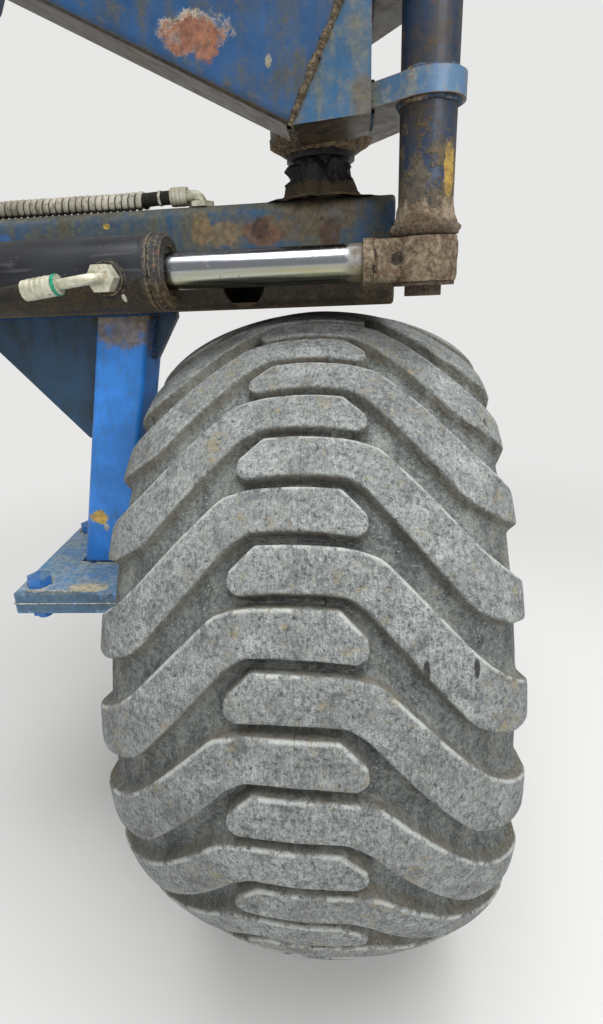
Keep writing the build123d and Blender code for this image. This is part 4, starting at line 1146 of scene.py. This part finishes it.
# Leg and foot: the leg leans inwards on its way down
LEG_TOP_X, LEG_FOOT_X = 446.0, 371.0
LEG_HALF_X, LEG_HALF_Y = 36.0, 35.0
beam_under, foot_top = beam_low[2], plate_high[2]
lean = (LEG_TOP_X - LEG_FOOT_X) / (beam_under - foot_top)


def leg_side(z, side):
    return LEG_TOP_X + side * LEG_HALF_X - lean * (beam_under - z)


(gusset_start_x, _, gusset_toe_z), _ = box_mm("leg_gusset")
(_, _, rib_toe_z), (rib_end_x, _, _) = box_mm("leg_rib")
leg_paths = [
    rectangle_z(z, leg_side(at, -1), leg_side(at, 1), -LEG_HALF_Y, LEG_HALF_Y)
    for z, at in ((beam_under - 1, beam_under), (foot_top + 1, foot_top))
]
leg_paths.append(
    rectangle_z(saddle_high[2] - 1, saddle_low[0], saddle_high[0], saddle_low[1], saddle_high[1])
)
seams = []
braces = ((gusset_start_x + 2, -1, gusset_toe_z), (rib_end_x - 2, 1, rib_toe_z))
for side_y in (-BRACE_HALF, BRACE_HALF):
    for far_x, side, toe_z in braces:
        leg_paths.append([
            (far_x, side_y, beam_under - 1.5),
            (leg_side(beam_under, side) + side, side_y, beam_under - 1.5),
            (leg_side(toe_z, side) + side, side_y, toe_z + 2),
        ])
    seams.append([
        (leg_side(z, -1) - 3, side_y * 1.4, z) for z in (beam_under - 12, gusset_toe_z)
    ])

# Beam: flange, ram bracket and hose tab
half = beam_high[1]
BRACKET_PLATE = 14.0
beam_paths = [rectangle_x(beam_low[0] + 1, -half - 1, half + 1, -half - 1, half + 1)]
for z in (
    bracket_low[2] - 1, bracket_low[2] + BRACKET_PLATE + 1, bracket_high[2] - BRACKET_PLATE - 1,
    bracket_high[2] + 1,
):
    beam_paths.append([(bracket_low[0] + 1, -half - 1, z), (bracket_high[0] - 1, -half - 1, z)])
tab_low, tab_high = box_mm("beam_hose_tab")
for x in (tab_low[0] - 0.5, tab_high[0] + 0.5):
    beam_paths.append([(x, tab_low[1] + 2, half + 0.8), (x, tab_high[1] - 2, half + 0.8)])

# Folding head: the arm on its box, the lever plates on box, sleeve and post
ARM_RISE, ARM_HEIGHT = radians(27.2), 150
low_x, low_z = 686.0, 115.0
high_x, high_z = low_x + ARM_HEIGHT * sin(ARM_RISE), low_z + ARM_HEIGHT * cos(ARM_RISE)
seam_path = ring_of([
    (low_x, ARM_FRONT - 0.5, low_z - 0.5), (high_x, ARM_FRONT - 0.5, high_z + 0.5),
    (high_x, ARM_BACK + 0.5, high_z + 0.5), (low_x, ARM_BACK + 0.5, low_z - 0.5),
])
head_right_x = box_mm("head_box")[1][0]
(_, _, lower_under), (_, _, lower_top) = box_mm("lever_plate")
(_, _, upper_under), (_, _, upper_top) = box_mm("upper_lever_plate")
head_paths = []
for z in (lower_under - 1, lower_top + 1, upper_under - 1):
    head_paths.append([
        (HEAD_LEFT_X, ARM_BACK + 1, z), (head_right_x + 1, ARM_BACK + 1, z),
        (head_right_x + 1, HEAD_END_Y, z),
    ])
for z in (lower_top + 1, upper_under - 1, upper_top + 1):
    head_paths.append(circle((PIVOT_X, 0, z), PIVOT_SEAM))
    head_paths.append(circle((POST_X, POST_Y, z), POST_SEAM))
head_paths.append(circle((POST_X, POST_Y, lower_under - 0.5), POST_SEAM))
web_low, web_high = box_mm("head_web")
for x in (web_low[0] - 0.5, web_high[0] + 0.5):
    head_paths.append([(x, ARM_BACK + 1, web_low[2] + 2), (x, ARM_BACK + 1, web_high[2] - 2)])
post_path = circle((POST_X, POST_Y, box_mm("post_cap")[0][2]), POST_CAP_SEAM)

# Ram: bosses and tab on its barrel, the eye on its rod
ram_paths = [circle((x, BOSS_Y, BOSS_Z), BOSS_SEAM, X_AXIS, Z_AXIS) for x in BOSSES_X]
ram_paths.append(circle((BASE_X, RAM_Y, RAM_Z), BASE_SEAM, Y_AXIS, Z_AXIS))
eye_path = circle((EYE_X, RAM_Y, RAM_Z), EYE_SEAM, Y_AXIS, Z_AXIS)

WELDS = (
    # name, body, slot, paint, share of rust, radius, paths
    ("leg_welds", "frame", "blue_paint", rgb(40, 84, 128), 0.35, BEAD, leg_paths),
    ("beam_welds", "frame", "blue_paint", rgb(46, 66, 88), 0.60, THIN_BEAD, beam_paths),
    ("seam_weld", "wing", "blue_paint", rgb(104, 94, 74), 0.55, SEAM_BEAD, [seam_path]),
    ("head_welds", "wing", "blue_paint", rgb(70, 92, 116), 0.50, BEAD, head_paths),
    ("post_weld", "wing", "blue_paint", rgb(60, 80, 104), 0.50, THIN_BEAD, [post_path]),
    ("ram_welds", "ram_barrel", "black_paint", rgb(48, 48, 50), 0.30, RAM_BEAD, ram_paths),
    ("eye_weld", "ram_rod", "rusty_steel", rgb(80, 64, 50), 0.90, EYE_BEAD, [eye_path]),
)
for name, body, slot, paint, rust, radius, paths in WELDS:
    beads = [bead_parts(path, radius) for path in paths]
    place_parts(name, beads, body, slot, weld_metal(name, paint, rust))

# Pale lines where old sealant and dust have cracked along the joints
FOOT_TURN = radians(4.0)
FOOT_WIDE, FOOT_LONG = 202.0, 238.0
BOLT_X, BOLT_Y, BOLT_LINE = 75, 91, 18.6
LINE_BEAD, EDGE_BEAD = 1.1, 0.8
foot_middle = Vector(((plate_low[0] + plate_high[0]) / 2, (plate_low[1] + plate_high[1]) / 2, 0))


def on_foot(x, y, z):
    return (
        foot_middle.x + x * cos(FOOT_TURN) - y * sin(FOOT_TURN),
        foot_middle.y + x * sin(FOOT_TURN) + y * cos(FOOT_TURN),
        z,
    )


seams.append(rectangle_z(
    foot_top + 0.8, leg_side(foot_top, -1) - 3.5, leg_side(foot_top, 1) + 3.5,
    -LEG_HALF_Y - 2.5, LEG_HALF_Y + 2.5,
))
lines = [bead_parts(path, LINE_BEAD, 0.42, 5) for path in seams]
foot_corners = ((-1, -1), (1, -1), (1, 1), (-1, 1))
foot_edge = [on_foot(x * FOOT_WIDE / 2, y * FOOT_LONG / 2, plate_low[2]) for x, y in foot_corners]
lines.append(bead_parts(ring_of(foot_edge), EDGE_BEAD, 0.25, 5))
for x in (-BOLT_X, BOLT_X):
    for y in (-BOLT_Y, BOLT_Y):
        bolt_line = circle(on_foot(x, y, foot_top + 0.6), BOLT_LINE, count=24)
        lines.append(bead_parts(bolt_line, LINE_BEAD, 0.35, 5))
cracked = mottled("cracked_line", 260, rgb(150, 148, 136), rgb(224, 220, 204), 0.0004, 0.8)
place_parts("joint_lines", lines, "frame", "blue_paint", cracked)

# Grease and mud
sleeve_path = circle((PIVOT_X, 0, lower_under - 0.5), PIVOT_SEAM)
place_parts("sleeve_weld", [bead_parts(sleeve_path, SLEEVE_BEAD)], "wing", "greasy_steel")
CRUSTS = (
    # name, body, slot, finish, centre, profile, depth of lumps, grain, seed, steps round
    (
        "pivot_grease", "frame", "greasy_steel", "greasy_steel", (PIVOT_X, 0),
        [(34, 106), (37, 104), (39, 98), (37, 90), (39, 82), (42, 75), (47, 70), (54, 64),
         (62, 60.4)], 9.0, 0.06, 3.0, 130,
    ),
    (
        "sleeve_mud", "wing", "blue_paint", "dried_mud", (PIVOT_X, -2),
        [(61, 131), (60.5, 127), (57, 123.5), (51, 120), (45, 116.5), (40.5, 114)],
        4.0, 0.09, 41.0,
    ),
    (
        "pivot_mud", "frame", "blue_paint", "dried_mud", (PIVOT_X + 2, -4),
        [(46, 67), (52, 65), (57, 63), (63, 61.2), (70, 60.2), (76, 59.8)], 6.0, 0.06, 12.0,
    ),
    (
        "post_mud", "wing", "rusty_steel", "rusty_steel", (POST_X, POST_Y),
        [(27.0, 42), (28.5, 32), (29.5, 26), (31.5, 21), (31, 18)], 2.2, 0.11, 21.0,
    ),
    (
        "flange_rust", "wing", "rusty_steel", "rust_ledge", (POST_X, POST_Y),
        [(30, 19.5), (33, 18.4), (35, 15), (34.6, 12), (33.4, 9.4), (31.6, 8.6)],
        2.4, 0.13, 27.0,
    ),
    (
        "eye_mud", "ram_rod", "rusty_steel", "rusty_steel", (POST_X, POST_Y),
        [(32.6, 4.6), (33.6, 1), (33.9, -8), (33.8, -20), (33.7, -30), (32.6, -35)],
        1.5, 0.12, 33.0,
    ),
)
for name, body, slot, finish, *form in CRUSTS:
    place_parts(name, [crust_parts(*form)], body, slot, MATERIALS[finish])

# Crimp rings on the hose ends and a tie on the beam's hose
# GROOVE: radius, half width and rise of a crimp; the rows of crimps run along X at their y and z
GROOVE = (10.4, 1.6, 0.45)
PORT, PORT_TILT, PORT_CRIMPS = Vector((489, -188, -21)), radians(7), (52, 58, 64, 70)
UNION_CRIMPS = [(x, -188, -50) for x in (196, 202, 208, 214)]
BEAM_CRIMPS = [(x, -40, 77) for x in (94, 100, 106, 112)] + [(x, -40, 73) for x in (534, 539, 544)]
port_along = Vector((-cos(PORT_TILT), 0, -sin(PORT_TILT))).normalized()
green = mottled("green_band", 300, rgb(20, 122, 92), rgb(44, 158, 122), 0.0002, 0.45)
green_ring = band_parts(PORT + port_along * 41, port_along, 10.5, 2.2, 0.6)
place_parts("crimp_ring", [green_ring], "ram_barrel", "rubber", green)
grooves = [band_parts(PORT + port_along * d, port_along, *GROOVE) for d in PORT_CRIMPS]
grooves += [band_parts(spot, X_AXIS, *GROOVE) for spot in UNION_CRIMPS]
place_parts("ram_crimps", grooves, "ram_barrel", "zinc")
grooves = [band_parts(spot, X_AXIS, *GROOVE) for spot in BEAM_CRIMPS]
place_parts("beam_crimps", grooves, "frame", "zinc")
tie = band_parts((516, -40, 72.9), X_AXIS, 8.0, 1.4, 0.9)
place_parts("hose_tie", [tie], "frame", "rubber", cracked)


# Floor, light and backdrop
FLOOR_Z = WHEEL_AT.z - TYRE_RADIUS * MM
FLOOR_DROP = 0.0006
BACKDROP = (0.80, 0.80, 0.79, 1.0)
AMBIENT = 0.42


def make_floor():
    mesh = bpy.data.meshes.new("floor")
    work = bmesh.new()
    bmesh.ops.create_circle(work, cap_ends=True, segments=64, radius=40)
    work.to_mesh(mesh)
    work.free()
    floor = add_object("floor", mesh)
    floor.location = (WHEEL_AT.x, WHEEL_AT.y, FLOOR_Z - FLOOR_DROP)
    m = Finish("floor")
    m.skin = BACKDROP
    mesh.materials.append(m.paint(0.9))
    reach = m.make("ShaderNodeVectorMath", "Value", {0: m.place}, operation="LENGTH")
    glow = m.make("ShaderNodeEmission", "Emission", {"Color": BACKDROP, "Strength": 1.0})
    lit = Amount(m, m.shader.outputs["BSDF"])
    inputs = {"Fac": m.span(reach, 0.6, 2.4), 1: lit, 2: glow}
    mixed = m.make("ShaderNodeMixShader", "Shader", inputs)
    m.join(mixed, m.tree.nodes["Material Output"].inputs["Surface"])


def make_world():
    world = bpy.data.worlds.new("studio")
    bpy.context.scene.world = world
    world.use_nodes = True
    tree = world.node_tree
    background = tree.nodes["Background"]
    background.inputs["Color"].default_value = BACKDROP
    seen = tree.nodes.new("ShaderNodeLightPath")
    strength = tree.nodes.new("ShaderNodeMapRange")
    strength.inputs["To Min"].default_value = AMBIENT
    strength.inputs["To Max"].default_value = 1.0
    tree.links.new(seen.outputs["Is Camera Ray"], strength.inputs["Value"])
    tree.links.new(strength.outputs["Result"], background.inputs["Strength"])


def area_light(name, at, target, size, power):
    data = bpy.data.lights.new(name, "AREA")
    data.shape = "RECTANGLE"
    data.size, data.size_y = size
    data.energy = power
    lamp = add_object(name, data)
    lamp.location = at
    lamp.rotation_mode = "QUATERNION"
    lamp.rotation_quaternion = (Vector(target) - Vector(at)).to_track_quat("-Z", "Y")


make_floor()
make_world()
area_light("overhead", (0.9, -0.5, 2.3), (0.65, 0.0, -0.4), (2.6, 2.2), 85)
area_light("front_fill", (2.3, -2.4, 1.3), (0.65, 0.0, -0.3), (1.6, 1.6), 50)

bpy.context.scene.view_settings.view_transform = "Standard"
